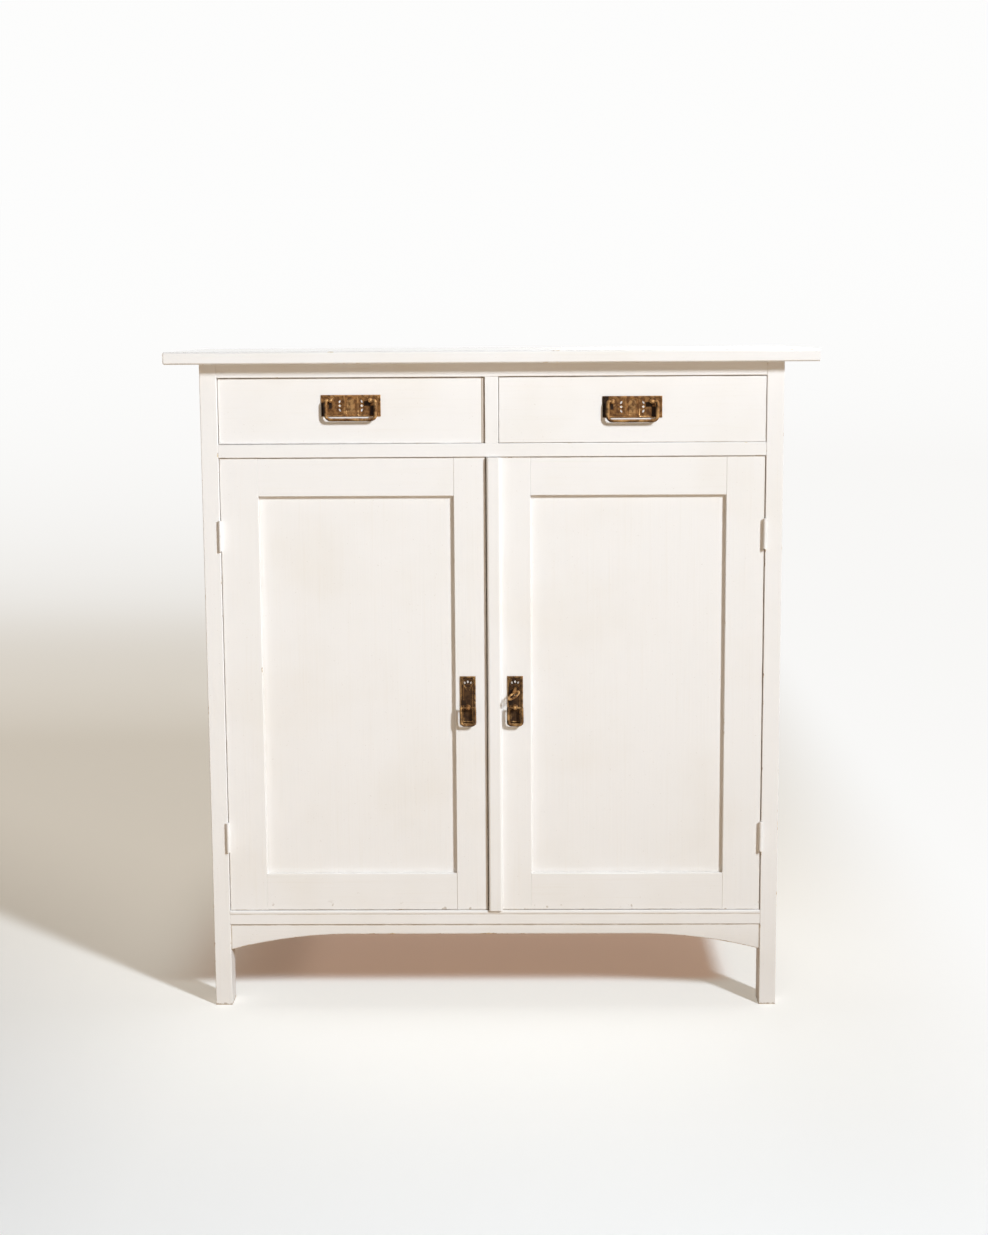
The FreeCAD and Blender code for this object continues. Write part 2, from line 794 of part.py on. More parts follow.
def make_door_plate(centre_x, with_key_hole):
    """The door's plate: an arched frame, three piercings under its head and the hole for the drop's post."""
    x = around(centre_x, door_plate_width)
    face_y = door_front
    blank, field = plate_blank(x, door_plate_z, face_y)
    relief_y = (face_y - plate_thickness, face_y - plate_thickness + plate_relief)
    through = inset((face_y - plate_thickness, face_y), -piercing_depth_spare)
    sunk_x = around(centre_x, door_arch_width)
    frame_z = (door_plate_z[0] + plate_rim + door_arch_channel, door_plate_z[1] - door_arch_drop)
    frame = arched(inset(sunk_x, -door_arch_line), frame_z, relief_y)
    sunk = arched(sunk_x, inset(frame_z, door_arch_line), relief_y)
    hole_z = door_plate_z[1] - door_hole_drop
    cuts = [field.cut(frame), sunk]
    for side in (-1, 0, 1):
        hole_x = centre_x + side * door_hole_offset
        sag = abs(side) * door_hole_sag
        tilt = side * 2 * math.degrees(math.atan2(door_hole_sag, door_hole_offset))
        cuts.append(petal(hole_x, hole_z - sag, door_petal_height, door_petal_bulge, tilt, through))
    cuts.append(spigot(centre_x, through, drop_pivot_z, spigot_clearance))
    if with_key_hole:
        cuts.append(key_hole(centre_x, through, 0.0))
    return blank.cut(cuts)


def make_drop(centre_x):
    """The door's small square drop, with one pin from arm to arm through the post."""
    pivot = post_pivot(centre_x, door_front, drop_pivot_z)
    loop = make_loop(pivot, drop_half_width, drop_length, drop_bar_width, drop_bend_radius)
    reach = Vector(drop_half_width, 0, 0)
    return joined([loop, rod(pivot_radius, pivot - reach, pivot + reach)])


# Doors
def door_groove():
    """The groove round the inside of a door frame, as one block."""
    return block(inset(panel_x, -groove_depth), door_panel_y, inset(panel_z, -groove_depth))


def door_tenon(rail_z, end):
    """Spans of a door rail's tenon: end 0 goes into the meeting stile, end 1 into the hinge stile."""
    if end == 0:
        x = (panel_x[0] - door_tenon_length, panel_x[0])
    else:
        x = (panel_x[1], panel_x[1] + door_tenon_length)
    return (x, door_panel_y, inset(rail_z, tenon_shoulder + groove_depth))


door_rail_spans = ((panel_z[1], door_z[1]), (door_z[0], panel_z[0]))
door_y = (door_front, door_back)


def make_door_rails():
    """Top and bottom rail of a door, tenoned at both ends and grooved for the panel."""
    rails = []
    for rail_z in door_rail_spans:
        tenons = [block(*door_tenon(rail_z, end)) for end in (0, 1)]
        rails.append(joined([block(panel_x, door_y, rail_z)] + tenons).cut(door_groove()))
    return rails


def make_stile(x, end):
    """A door stile with its mortises and the panel groove."""
    mortises = [block(*door_tenon(rail_z, end), joint_clearance) for rail_z in door_rail_spans]
    return block(x, door_y, door_z).cut(mortises + [door_groove()])


def make_hinge_stile():
    """The stile that hangs on the hinges, with beds for their leaves."""
    return make_stile((panel_x[1], door_hinge_edge), 1).cut(hinge_recesses(door_leaf_x))


def make_left_meeting_stile():
    """The left door's meeting stile, drawn on the right."""
    return make_stile((left_meeting_edge, panel_x[0]), 0)


def make_right_meeting_stile():
    """The right door's meeting stile, which runs on under the strip, with the keyhole."""
    stile = make_stile((right_meeting_edge, panel_x[0]), 0)
    return stile.cut(key_hole(key_x, door_y, key_hole_clearance))


def make_door_panel():
    """The flat panel with its edges in the frame's grooves."""
    tongue = groove_depth - panel_expansion
    return block(inset(panel_x, -tongue), door_panel_y, inset(panel_z, -tongue))


def make_meeting_strip():
    """The strip on the right door's edge that closes the joint between the doors."""
    strip = block(strip_x, (door_front - strip_thickness, door_front), door_z)
    front = [
        edge for edge in strip.Edges
        if edge.BoundBox.ZLength > strip_width and edge.BoundBox.YMax < door_front - strip_thickness / 2
    ]
    return strip.makeFillet(strip_radius, front)


# Hinges
leaf_offset = hinge_leaf_gap / 2
post_leaf_x = (hinge_x + leaf_offset, hinge_x + leaf_offset + hinge_leaf_thickness)
door_leaf_x = (hinge_x - leaf_offset - hinge_leaf_thickness, hinge_x - leaf_offset)


def knuckle_spans(centre, first):
    """Height spans of every second knuckle of a barrel, starting with the given one."""
    pitch = hinge_height / hinge_knuckle_count
    low = centre - hinge_height / 2
    spans = []
    for number in range(first, hinge_knuckle_count, 2):
        under = hinge_knuckle_gap / 2 if number > 0 else 0.0
        over = hinge_knuckle_gap / 2 if number < hinge_knuckle_count - 1 else 0.0
        spans.append((low + number * pitch + under, low + (number + 1) * pitch - over))
    return spans


def upright_rod(radius, z):
    """A rod on a hinge's axis."""
    return rod(radius, Vector(hinge_x, hinge_y, z[0]), Vector(hinge_x, hinge_y, z[1]))


def make_leaf(centre, leaf_x, first, bore_radius):
    """A hinge leaf: a flat plate rolled into knuckles round the pin."""
    height = around(centre, hinge_height)
    plate = block(leaf_x, (hinge_y, front_y + hinge_leaf_depth), height)
    own = [upright_rod(hinge_barrel_radius, span) for span in knuckle_spans(centre, first)]
    other = [
        upright_rod(hinge_barrel_radius + hinge_knuckle_gap, inset(span, -hinge_knuckle_gap))
        for span in knuckle_spans(centre, 1 - first)
    ]
    bore = upright_rod(bore_radius, height)
    return joined([plate.cut(other)] + own).cut(bore)


def make_post_leaves():
    """The leaves on the right post, which hold the pins."""
    return [make_leaf(centre, post_leaf_x, 0, hinge_pin_radius) for centre in hinge_centres]


def make_door_leaves():
    """The leaves on the right door, which lift off the pins."""
    bore_radius = hinge_pin_radius + hinge_pin_clearance
    return [make_leaf(centre, door_leaf_x, 1, bore_radius) for centre in hinge_centres]


def make_hinge_pins():
    """The pins of the right door's hinges."""
    return [upright_rod(hinge_pin_radius, around(centre, hinge_height)) for centre in hinge_centres]


# Lock and key
def make_lock_case():
    """The sheet-steel lock box on the back of the right door, open for the bolt and the key."""
    shell = block(lock_x, lock_y, lock_z)
    hollow = block(inset(lock_x, lock_wall), inset(lock_y, lock_wall), inset(lock_z, lock_wall))
    mouth = block((lock_x[0], lock_x[0] + lock_wall), lock_bolt_y, lock_bolt_z, lock_bolt_clearance)
    hole = key_hole(key_x, (lock_y[0], lock_y[0] + lock_wall), key_hole_clearance)
    return shell.cut([hollow, mouth, hole])


lock_bolt_y = around(lock_middle_y, lock_bolt_thickness)
lock_bolt_z = (key_z + lock_bolt_rise, key_z + lock_bolt_rise + lock_bolt_height)
lock_bolt_start = lock_x[0] + lock_bolt_hiding


def make_lock_bolt():
    """The sliding bolt with the notch that the key's bit works in."""
    bolt = block((lock_bolt_start, lock_bolt_start + lock_bolt_length), lock_bolt_y, lock_bolt_z)
    notch_z = (lock_bolt_z[0], lock_bolt_z[0] + lock_notch_depth)
    notch = block(around(key_x, lock_notch_width), lock_bolt_y, notch_z)
    return bolt.cut(notch)


def make_key():
    """The key: an oval bow, a round stem and a bit, turned as it stands in the lock."""
    tip_y = lock_y[1] - lock_wall - key_tip_clearance
    bow_tip_y = front_y - top_front_overhang + key_front_margin
    bow_centre_y = bow_tip_y + key_bow_length / 2
    bow_back_y = bow_tip_y + key_bow_length - key_bow_rod / 2
    stem = rod(key_stem_radius, Vector(key_x, bow_back_y, key_z), Vector(key_x, tip_y, key_z))
    bit_y = around(lock_middle_y, key_bit_depth)
    bit = block(around(key_x, key_bit_thickness), bit_y, (key_z - key_bit_reach, key_z))
    key = joined([stem, make_bow(bow_centre_y), bit])
    key.rotate(Vector(key_x, 0, key_z), Vector(0, 1, 0), key_rest_tilt)
    return key


def make_oval(centre, radius, half_straight, depth):
    """An upright oval of two half circles and two straight sides, carried along X."""
    up = Vector(0, 0, half_straight)
    out = Vector(0, radius, 0)
    crown = Vector(0, 0, half_straight + radius)
    outline = [
        Part.makeLine(centre - out - up, centre - out + up),
        Part.Arc(centre - out + up, centre + crown, centre + out + up).toShape(),
        Part.makeLine(centre + out + up, centre + out - up),
        Part.Arc(centre + out - up, centre - crown, centre - out - up).toShape(),
    ]
    return Part.Face(Part.Wire(outline)).extrude(Vector(depth, 0, 0))


def make_bow(centre_y):
    """The key's bow: a flat ring between two ovals."""
    centre = Vector(key_x - key_bow_rod / 2, centre_y, key_z)
    radius = key_bow_length / 2
    half_straight = (key_bow_width - key_bow_length) / 2
    ring = make_oval(centre, radius, half_straight, key_bow_rod)
    return ring.cut(make_oval(centre, radius - key_bow_rod, half_straight, key_bow_rod))


# Left door's bolt, drawn on the right
def make_bolt_guide():
    """The plate on the back of the left door with the two bridges that hold its bolt."""
    plate_z = (door_bolt_z[1] - bolt_plate_height, door_bolt_z[1])
    plate = block(around(left_plate_offset, bolt_plate_width), bolt_plate_y, plate_z)
    tunnel_x = inset(door_bolt_x, -door_bolt_clearance)
    tunnel_y = (bolt_plate_y[1], door_bolt_y[1] + door_bolt_clearance)
    bridges = []
    for bridge_z in (
        (plate_z[0], plate_z[0] + bolt_bridge_height),
        (plate_z[1] - bolt_bridge_height, plate_z[1]),
    ):
        outer_y = (bolt_plate_y[1], tunnel_y[1] + bolt_bridge_wall)
        outer = block(inset(tunnel_x, -bolt_bridge_wall), outer_y, bridge_z)
        bridges.append(outer.cut(block(tunnel_x, tunnel_y, bridge_z)))
    return joined([plate] + bridges)


def make_door_bolt():
    """The flat bolt that slides up into the drawer rail, with a knob to push it."""
    bar = block(door_bolt_x, door_bolt_y, door_bolt_z)
    middle_z = door_bolt_z[1] - bolt_plate_height / 2
    start = Vector(left_plate_offset, door_bolt_y[1], middle_z)
    knob = rod(door_bolt_knob_radius, start, start + Vector(0, door_bolt_knob_length, 0))
    return joined([bar, knob])


def both(pieces):
    """Right-hand pieces together with their left-hand copies."""
    return pieces + [mirrored(piece) for piece in pieces]


def pushed_in(shape, distance):
    """The shape moved straight back into the case."""
    return shape.translated(Vector(0, distance, 0))


def save(name, pieces):
    """Write one node: a single solid, or a group of like solids."""
    shape = pieces[0] if len(pieces) == 1 else Part.makeCompound(pieces)
    shape.exportStep(os.path.join("parts", name + ".step"))


def save_sided(name, pieces):
    """Write the right-hand node and its mirrored left-hand twin."""
    save("right_" + name, pieces)
    save("left_" + name, [mirrored(piece) for piece in pieces])


def save_drawer(name, pieces):
    """Write the right drawer's node and its left-hand twin, which is pushed in further."""
    save("right_" + name, pieces)
    save("left_" + name, [pushed_in(mirrored(piece), left_drawer_push) for piece in pieces])


def main():
    """Make every piece and write it under its node's name."""
    os.makedirs("parts", exist_ok=True)
    save("top_board", [make_top_board()])
    save("front_right_post", [make_front_post()])
    save("front_left_post", [mirrored(make_front_post())])
    save("rear_right_post", [make_rear_post()])
    save("rear_left_post", [mirrored(make_rear_post())])
    save("top_front_rail", [make_top_front_rail()])
    save("drawer_rail", [make_drawer_rail()])
    save("bottom_front_rail", [make_bottom_front_rail()])
    save("front_apron", [make_apron()])
    save("drawer_divider", [make_divider()])
    save("right_side_rails", make_side_rails())
    save("left_side_rails", [mirrored(rail) for rail in make_side_rails()])
    save("right_side_panel", [make_side_panel()])
    save("left_side_panel", [mirrored(make_side_panel())])
    save("back_rails", make_back_rails())
    save("back_boards", make_back_boards())
    save("cupboard_floor", [make_floor()])
    save("shelves", make_shelves())
    save("shelf_cleats", make_shelf_cleats())
    save("drawer_runners", make_battens(drawer_rail_z))
    save("drawer_kickers", make_battens(top_rail_z))
    save("drawer_guide", [make_drawer_guide()])
    save("hinge_post_leaves", both(make_post_leaves()))
    save("hinge_pins", both(make_hinge_pins()))
    save_drawer("drawer_front", [make_drawer_front()])
    save_drawer("drawer_sides", make_drawer_sides())
    save_drawer("drawer_back", [make_drawer_back()])
    save_drawer("drawer_bottom", [make_drawer_bottom()])
    right_pull = ("right_", pull_centre_x, right_pull_rise, 0.0)
    left_pull = ("left_", -pull_centre_x, left_pull_rise, left_drawer_push)
    for side, x, rise, push in (right_pull, left_pull):
        pull_z = pull_middle_z + rise
        save(side + "pull_plate", [pushed_in(make_pull_plate(x, pull_z), push)])
        save(side + "pull_posts", [pushed_in(post, push) for post in make_pull_posts(x, pull_z)])
        save(side + "pull_bail", [pushed_in(make_pull_bail(x, pull_z), push)])
    save_sided("door_hinge_stile", [make_hinge_stile()])
    save_sided("door_rails", make_door_rails())
    save_sided("door_panel", [make_door_panel()])
    save_sided("door_hinge_leaves", make_door_leaves())
    save("right_door_meeting_stile", [make_right_meeting_stile()])
    save("left_door_meeting_stile", [mirrored(make_left_meeting_stile())])
    for side, x in (("right_", right_plate_offset), ("left_", -left_plate_offset)):
        save(side + "door_plate", [make_door_plate(x, side == "right_")])
        save(side + "drop_post", [make_handle_post(x, door_front, drop_pivot_z)])
        save(side + "drop", [make_drop(x)])
    save("meeting_strip", [make_meeting_strip()])
    save("lock_case", [make_lock_case()])
    save("lock_bolt", [make_lock_bolt()])
    save("key", [make_key()])
    save("left_bolt_guide", [mirrored(make_bolt_guide())])
    save("left_door_bolt", [mirrored(make_door_bolt())])


main()
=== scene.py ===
import json

import bmesh
import bpy
import numpy as np
from mathutils import Matrix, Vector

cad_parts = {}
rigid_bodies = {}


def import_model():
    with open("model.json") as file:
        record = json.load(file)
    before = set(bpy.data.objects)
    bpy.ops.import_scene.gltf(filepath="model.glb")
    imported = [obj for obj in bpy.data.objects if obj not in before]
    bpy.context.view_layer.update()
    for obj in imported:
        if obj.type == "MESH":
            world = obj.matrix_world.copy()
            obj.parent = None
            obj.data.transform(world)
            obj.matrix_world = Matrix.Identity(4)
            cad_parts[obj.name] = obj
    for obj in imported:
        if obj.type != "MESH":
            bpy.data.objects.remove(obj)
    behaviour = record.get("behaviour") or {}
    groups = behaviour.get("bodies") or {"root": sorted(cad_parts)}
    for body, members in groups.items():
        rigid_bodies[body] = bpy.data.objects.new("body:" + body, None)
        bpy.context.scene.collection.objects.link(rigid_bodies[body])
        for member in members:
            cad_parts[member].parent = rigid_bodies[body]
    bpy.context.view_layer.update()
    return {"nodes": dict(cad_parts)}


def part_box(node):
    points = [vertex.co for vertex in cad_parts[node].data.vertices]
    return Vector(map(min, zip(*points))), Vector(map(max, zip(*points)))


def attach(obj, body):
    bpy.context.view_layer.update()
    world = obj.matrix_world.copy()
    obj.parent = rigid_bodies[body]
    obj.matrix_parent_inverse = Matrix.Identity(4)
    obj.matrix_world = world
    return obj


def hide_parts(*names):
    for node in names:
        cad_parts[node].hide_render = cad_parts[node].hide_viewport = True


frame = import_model()


# Posts: four square pine posts that run from the floor up to the top and stand as legs. They are
# planed, mortised for the rails and brushed with several coats of warm white paint, which has
# rubbed through along the arrises. Near the floor the paint is yellowed with age and darkened as
# painted shade, for the light that falls off towards the floor.
def add_node(tree, kind, feeds=None, **settings):
    """One shader node: its settings are set, and each fed socket takes a link or a plain value."""
    made = tree.nodes.new("ShaderNode" + kind)
    for name, value in settings.items():
        setattr(made, name, value)
    for key, value in (feeds or {}).items():
        if isinstance(value, bpy.types.NodeSocket):
            tree.links.new(value, made.inputs[key])
        else:
            made.inputs[key].default_value = value
    return made.outputs


def where(tree):
    """The place of the surface's point, in the cupboard's frame."""
    return add_node(tree, "TexCoord")["Object"]


def step(kind, feeds, **settings):
    """One shader node in the tree that the first fed link comes from."""
    links = (value for value in feeds.values() if isinstance(value, bpy.types.NodeSocket))
    return add_node(next(links).id_data, kind, feeds, **settings)


def split(vector):
    """The X, Y and Z of a vector."""
    return step("SeparateXYZ", {0: vector})


def reckon(operation, *values):
    """The result of one arithmetic step on values that change over the surface."""
    return step("Math", dict(enumerate(values)), operation=operation)[0]


def shift(operation, *values):
    """The result of one step on vectors, such as places on the surface."""
    return step("VectorMath", dict(enumerate(values)), operation=operation)[0]


def fade(value, start, end, low=0.0, high=1.0):
    """A smooth step from low to high as the value goes from start to end."""
    feeds = {"Value": value, "From Min": start, "From Max": end, "To Min": low, "To Max": high}
    return step("MapRange", feeds, interpolation_type="SMOOTHSTEP")[0]


def tint(share, under, over):
    """The colour under, covered by the colour over as far as share says."""
    return step("Mix", {0: share, 6: under, 7: over}, data_type="RGBA")[2]


def patches(place, scale, detail=3.0, roughness=0.55):
    """Soft random patches, about one every 1/scale metres."""
    feeds = {"Vector": place, "Scale": scale, "Detail": detail, "Roughness": roughness}
    return step("TexNoise", feeds)[0]


def effect(name, takes, gives):
    """A shader node group with named inputs and outputs: its tree, its entry and its exit."""
    tree = bpy.data.node_groups.new(name, "ShaderNodeTree")
    for label, kind in takes.items():
        tree.interface.new_socket(label, in_out="INPUT", socket_type="NodeSocket" + kind)
    for label, kind in gives.items():
        tree.interface.new_socket(label, in_out="OUTPUT", socket_type="NodeSocket" + kind)
    return tree, tree.nodes.new("NodeGroupInput").outputs, tree.nodes.new("NodeGroupOutput").inputs


def to_sides(tree, low, high):
    """Distances to the nearer side of a box along X, Y and Z: the smaller of place less low and
    high less place."""
    place = where(tree)
    from_low = shift("SUBTRACT", place, low)
    from_high = shift("SUBTRACT", high, place)
    return split(shift("MINIMUM", from_low, from_high))


# Distance to the nearest arris of a box: on a board's surface the smallest of its three distances
# to the box is nought, so the middle one is the distance to the arris.
box_arris, taken, given = effect(
    "box_arris", {"Low": "Vector", "High": "Vector"}, {"Distance": "Float"}
)
inside_x, inside_y, inside_z = to_sides(box_arris, taken["Low"], taken["High"])
smaller = reckon("MINIMUM", inside_x, inside_y)
larger = reckon("MAXIMUM", inside_x, inside_y)
middle = reckon("MAXIMUM", smaller, reckon("MINIMUM", larger, inside_z))
box_arris.links.new(middle, given["Distance"])

# Rubbed paint: ragged bare patches, drawn out along the strokes. Amount says how many there are,
# and nearness to the arris, within Reach, counts beside the patches' own strength.
NEARNESS = 0.4
rubbed, taken, given = effect(
    "rubbed_paint",
    {"Distance": "Float", "Reach": "Float", "Amount": "Float", "Stretch": "Vector"},
    {"Bare": "Float"},
)
place = where(rubbed)
drawn = shift("MULTIPLY", place, taken["Stretch"])
near = fade(taken["Distance"], taken["Reach"], 0.0)
ragged = reckon("MULTIPLY", patches(drawn, 1.0, 4.0), 0.5)
ragged = reckon("MULTIPLY_ADD", patches(place, 15.0, 2.0), 0.5, ragged)
score = reckon("MULTIPLY_ADD", near, NEARNESS, ragged)
limit = reckon("SUBTRACT", 1 + NEARNESS, taken["Amount"])
rubbed.links.new(fade(score, limit, reckon("ADD", limit, 0.05)), given["Bare"])

# White paint: brush strokes drawn out along one axis, faint yellow clouds, more yellow near
# the floor (age, and painted shade for the light that falls off there), brown where Brown says
# so (dirty marks, and on some boards painted shade), and undercoat and wood where Bare says so.
WHITE = (0.872, 0.838, 0.806, 1)
CREAM = (0.80, 0.74, 0.66, 1)
CLOUD_YELLOW, FLOOR_YELLOW_AND_SHADE, STROKE_YELLOW = 0.36, 0.20, 0.22
# The brown of dirty specks and marks, and of the painted shade lines on some boards.
SOIL_AND_SHADE = (0.40, 0.30, 0.20, 1)
UNDERCOAT = (0.68, 0.54, 0.34, 1)
WORN_WOOD = (0.36, 0.21, 0.10, 1)
brushed, taken, given = effect(
    "brushed_white",
    {"Stretch": "Vector", "Bare": "Float", "Brown": "Float"},
    {"Colour": "Color", "Roughness": "Float", "Height": "Float"},
)
place = where(brushed)
above_floor = split(place)["Z"]
strokes = patches(shift("MULTIPLY", place, taken["Stretch"]), 1.0, 4.0, 0.65)
clouds = patches(place, 5.0)
specks = patches(place, 320.0, 2.0)
aged = reckon("MULTIPLY", fade(clouds, 0.42, 0.75), CLOUD_YELLOW)
# Near the floor the paint turns cream: age, and painted shade for the light that falls off there.
aged = reckon("MULTIPLY_ADD", fade(above_floor, 0.55, 0.0), FLOOR_YELLOW_AND_SHADE, aged)
aged = reckon("MULTIPLY_ADD", fade(strokes, 0.5, 0.8), STROKE_YELLOW, aged)
colour = tint(aged, WHITE, CREAM)
colour = tint(fade(specks, 0.71, 0.75, 0.0, 0.2), colour, SOIL_AND_SHADE)
colour = tint(taken["Brown"], colour, SOIL_AND_SHADE)
ground = tint(fade(specks, 0.47, 0.6), UNDERCOAT, WORN_WOOD)
brushed.links.new(tint(taken["Bare"], colour, ground), given["Colour"])
gloss = fade(strokes, 0.25, 0.75, 0.36, 0.52)
brushed.links.new(reckon("MULTIPLY_ADD", taken["Bare"], 0.3, gloss), given["Roughness"])
film = reckon("MULTIPLY_ADD", clouds, 0.6, reckon("MULTIPLY", strokes, 0.7))
brushed.links.new(reckon("MULTIPLY_ADD", taken["Bare"], -0.5, film), given["Height"])


def finish(name, surface, strength, distance, **plain):
    """A material whose skin takes its colour and roughness from the surface's nodes, a bump from
    its height, and plain values on other sockets."""
    material = bpy.data.materials.new(name)
    material.use_nodes = True
    tree = material.node_tree
    skin = tree.nodes["Principled BSDF"]
    nodes = surface(tree)
    relief = {"Height": nodes["Height"], "Strength": strength, "Distance": distance}
    bump = add_node(tree, "Bump", relief)
    tree.links.new(nodes["Colour"], skin.inputs["Base Color"])
    tree.links.new(nodes["Roughness"], skin.inputs["Roughness"])
    tree.links.new(bump["Normal"], skin.inputs["Normal"])
    if "Metal" in nodes:
        tree.links.new(nodes["Metal"], skin.inputs["Metallic"])
    for socket, value in plain.items():
        skin.inputs[socket].default_value = value
    return material


def drawn_out(along, fine, long):
    """Scales of a pattern that is fine across and long along one axis (0, 1 or 2)."""
    scales = np.full(3, fine)
    scales[along] = long
    return scales


def painted(name, along, box, amount=0.42, reach=0.004, distance=None, soil=None, **plain):
    """White paint with its strokes along one axis (0, 1 or 2). It is rubbed along the arrises of a
    box, or by a distance of the surface's own, browned by a mask of its own, which holds dirty
    marks and, on some boards, painted shade, and takes plain values on other sockets."""
    strokes = drawn_out(along, 260.0, 6.0)
    scuffs = drawn_out(along, 190.0, 70.0)

    def coat(tree):
        if distance:
            arris = distance(tree)
        else:
            sides = {"Low": box[0], "High": box[1]}
            arris = add_node(tree, "Group", sides, node_tree=box_arris)["Distance"]
        feeds = {"Distance": arris, "Reach": reach, "Amount": amount, "Stretch": scuffs}
        bare = add_node(tree, "Group", feeds, node_tree=rubbed)["Bare"]
        feeds = {"Stretch": strokes, "Bare": bare}
        if soil:
            feeds["Brown"] = soil(tree)
        return add_node(tree, "Group", feeds, node_tree=brushed)

    return finish(name, coat, strength=0.35, distance=0.0007, **plain)


def put(name, data):
    """A new object of the scene, at the origin."""
    made = bpy.data.objects.new(name, data)
    bpy.context.scene.collection.objects.link(made)
    return made


# Points closer than the first, in metres, are one. Faces turned less than the second, in radians,
# are one, and edges folded more than the third are arrises. A face looks towards a side when the
# cosine of the angle between them is over the last.
SAME_POINT = 1e-6
SAME_PLANE = 0.01
ARRIS_FOLD = 0.6
LOOKS_AT = 0.7


def eased(node, body, finishes, width=0.0009, shortest=0.09, bare_side=None):
    """A board's own faces with its arrises eased: doubles are merged, flat triangles joined, and
    each outside edge folded by more than ARRIS_FOLD radians and longer than shortest becomes a
    strip of two facets, marked arris. Faces that look towards bare_side take the second finish."""
    board = bmesh.new()
    board.from_mesh(frame["nodes"][node].data)
    bmesh.ops.remove_doubles(board, verts=board.verts, dist=SAME_POINT)
    bmesh.ops.dissolve_limit(board, angle_limit=SAME_PLANE, verts=board.verts, edges=board.edges)
    outside = [
        edge for edge in board.edges
        if edge.is_manifold and edge.calc_face_angle_signed() > ARRIS_FOLD
        and edge.calc_length() > shortest
    ]
    arris = board.faces.layers.float.new("arris")
    strips = bmesh.ops.bevel(
        board, geom=outside, offset=width, offset_type="OFFSET", segments=2, profile=0.5,
        affect="EDGES", clamp_overlap=False, material=-1,
    )["faces"]
    for face in board.faces:
        face.smooth = False
    for face in strips:
        face.smooth = True
        face[arris] = 1.0
    mesh = bpy.data.meshes.new(node + "_eased")
    board.to_mesh(mesh)
    board.free()
    mesh.materials.clear()
    for material in finishes:
        mesh.materials.append(material)
    looks = np.empty(3 * len(mesh.polygons))
    mesh.polygons.foreach_get("normal", looks)
    bare = looks.reshape(-1, 3) @ np.array(bare_side or (0, 0, 0)) > LOOKS_AT
    mesh.polygons.foreach_set("material_index", bare.astype(np.int32))
    piece = put(node + "_eased", mesh)
    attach(piece, body)
    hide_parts(node)


def paint_board(node, body, along, label=None, width=0.0009, inside=(), bare_side=None, **looks):
    """A painted board with its arrises eased and its strokes along one axis (0, 1 or 2). Faces that
    look towards bare_side take the one finish in the list inside."""
    coat = painted((label or node) + "_paint", along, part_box(node), **looks)
    eased(node, body, [coat, *inside], width=width, bare_side=bare_side)


def foot_soil(tree):
    """Dirt at the foot of a post, in a ragged border a few millimetres high."""
    place = where(tree)
    height = split(place)["Z"]
    ragged = reckon("MULTIPLY_ADD", patches(place, 120.0), -0.012, height)
    return fade(ragged, -0.002, -0.006, 0.0, 0.85)


for post in ("front_left_post", "front_right_post", "rear_left_post", "rear_right_post"):
    paint_board(post, "case", 2, width=0.0011, amount=0.45, reach=0.005, soil=foot_soil)


# Front rails and divider: three pine rails tenoned between the front posts, and a short upright
# between the two drawers, stubbed into the upper two rails. All are painted with the posts.
rail_low, rail_high = np.array(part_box("bottom_front_rail"))
top_rail_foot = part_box("top_front_rail")[0].z
bead_height = 0.0058


def overlap(first, *others):
    """Where several masks hold at once: their product."""
    for other in others:
        first = reckon("MULTIPLY", first, other)
    return first


def bead_shade_line(tree):
    """A thin line of painted shade under the bead of the bottom rail, made patchy."""
    place = where(tree)
    below = reckon("SUBTRACT", rail_high[2] - bead_height, split(place)["Z"])
    thin = fade(reckon("ABSOLUTE", below), 0.0014, 0.0004)
    darkening = fade(patches(place, 45.0), 0.3, 0.65, 0.25, 0.6)
    return overlap(thin, darkening)


def gap_dark_line(tree):
    """A dark line on the lower edge of the top rail, over the right drawer."""
    aside, _, height = split(where(tree))
    edge = fade(height, top_rail_foot + 0.0016, top_rail_foot + 0.0006)
    return overlap(edge, fade(aside, -0.02, 0.04, 0.1, 0.95))


for rail, soil in (
    ("top_front_rail", gap_dark_line), ("drawer_rail", None), ("bottom_front_rail", bead_shade_line),
):
    paint_board(rail, "case", 0, soil=soil)
paint_board("drawer_divider", "case", 2, label="divider")


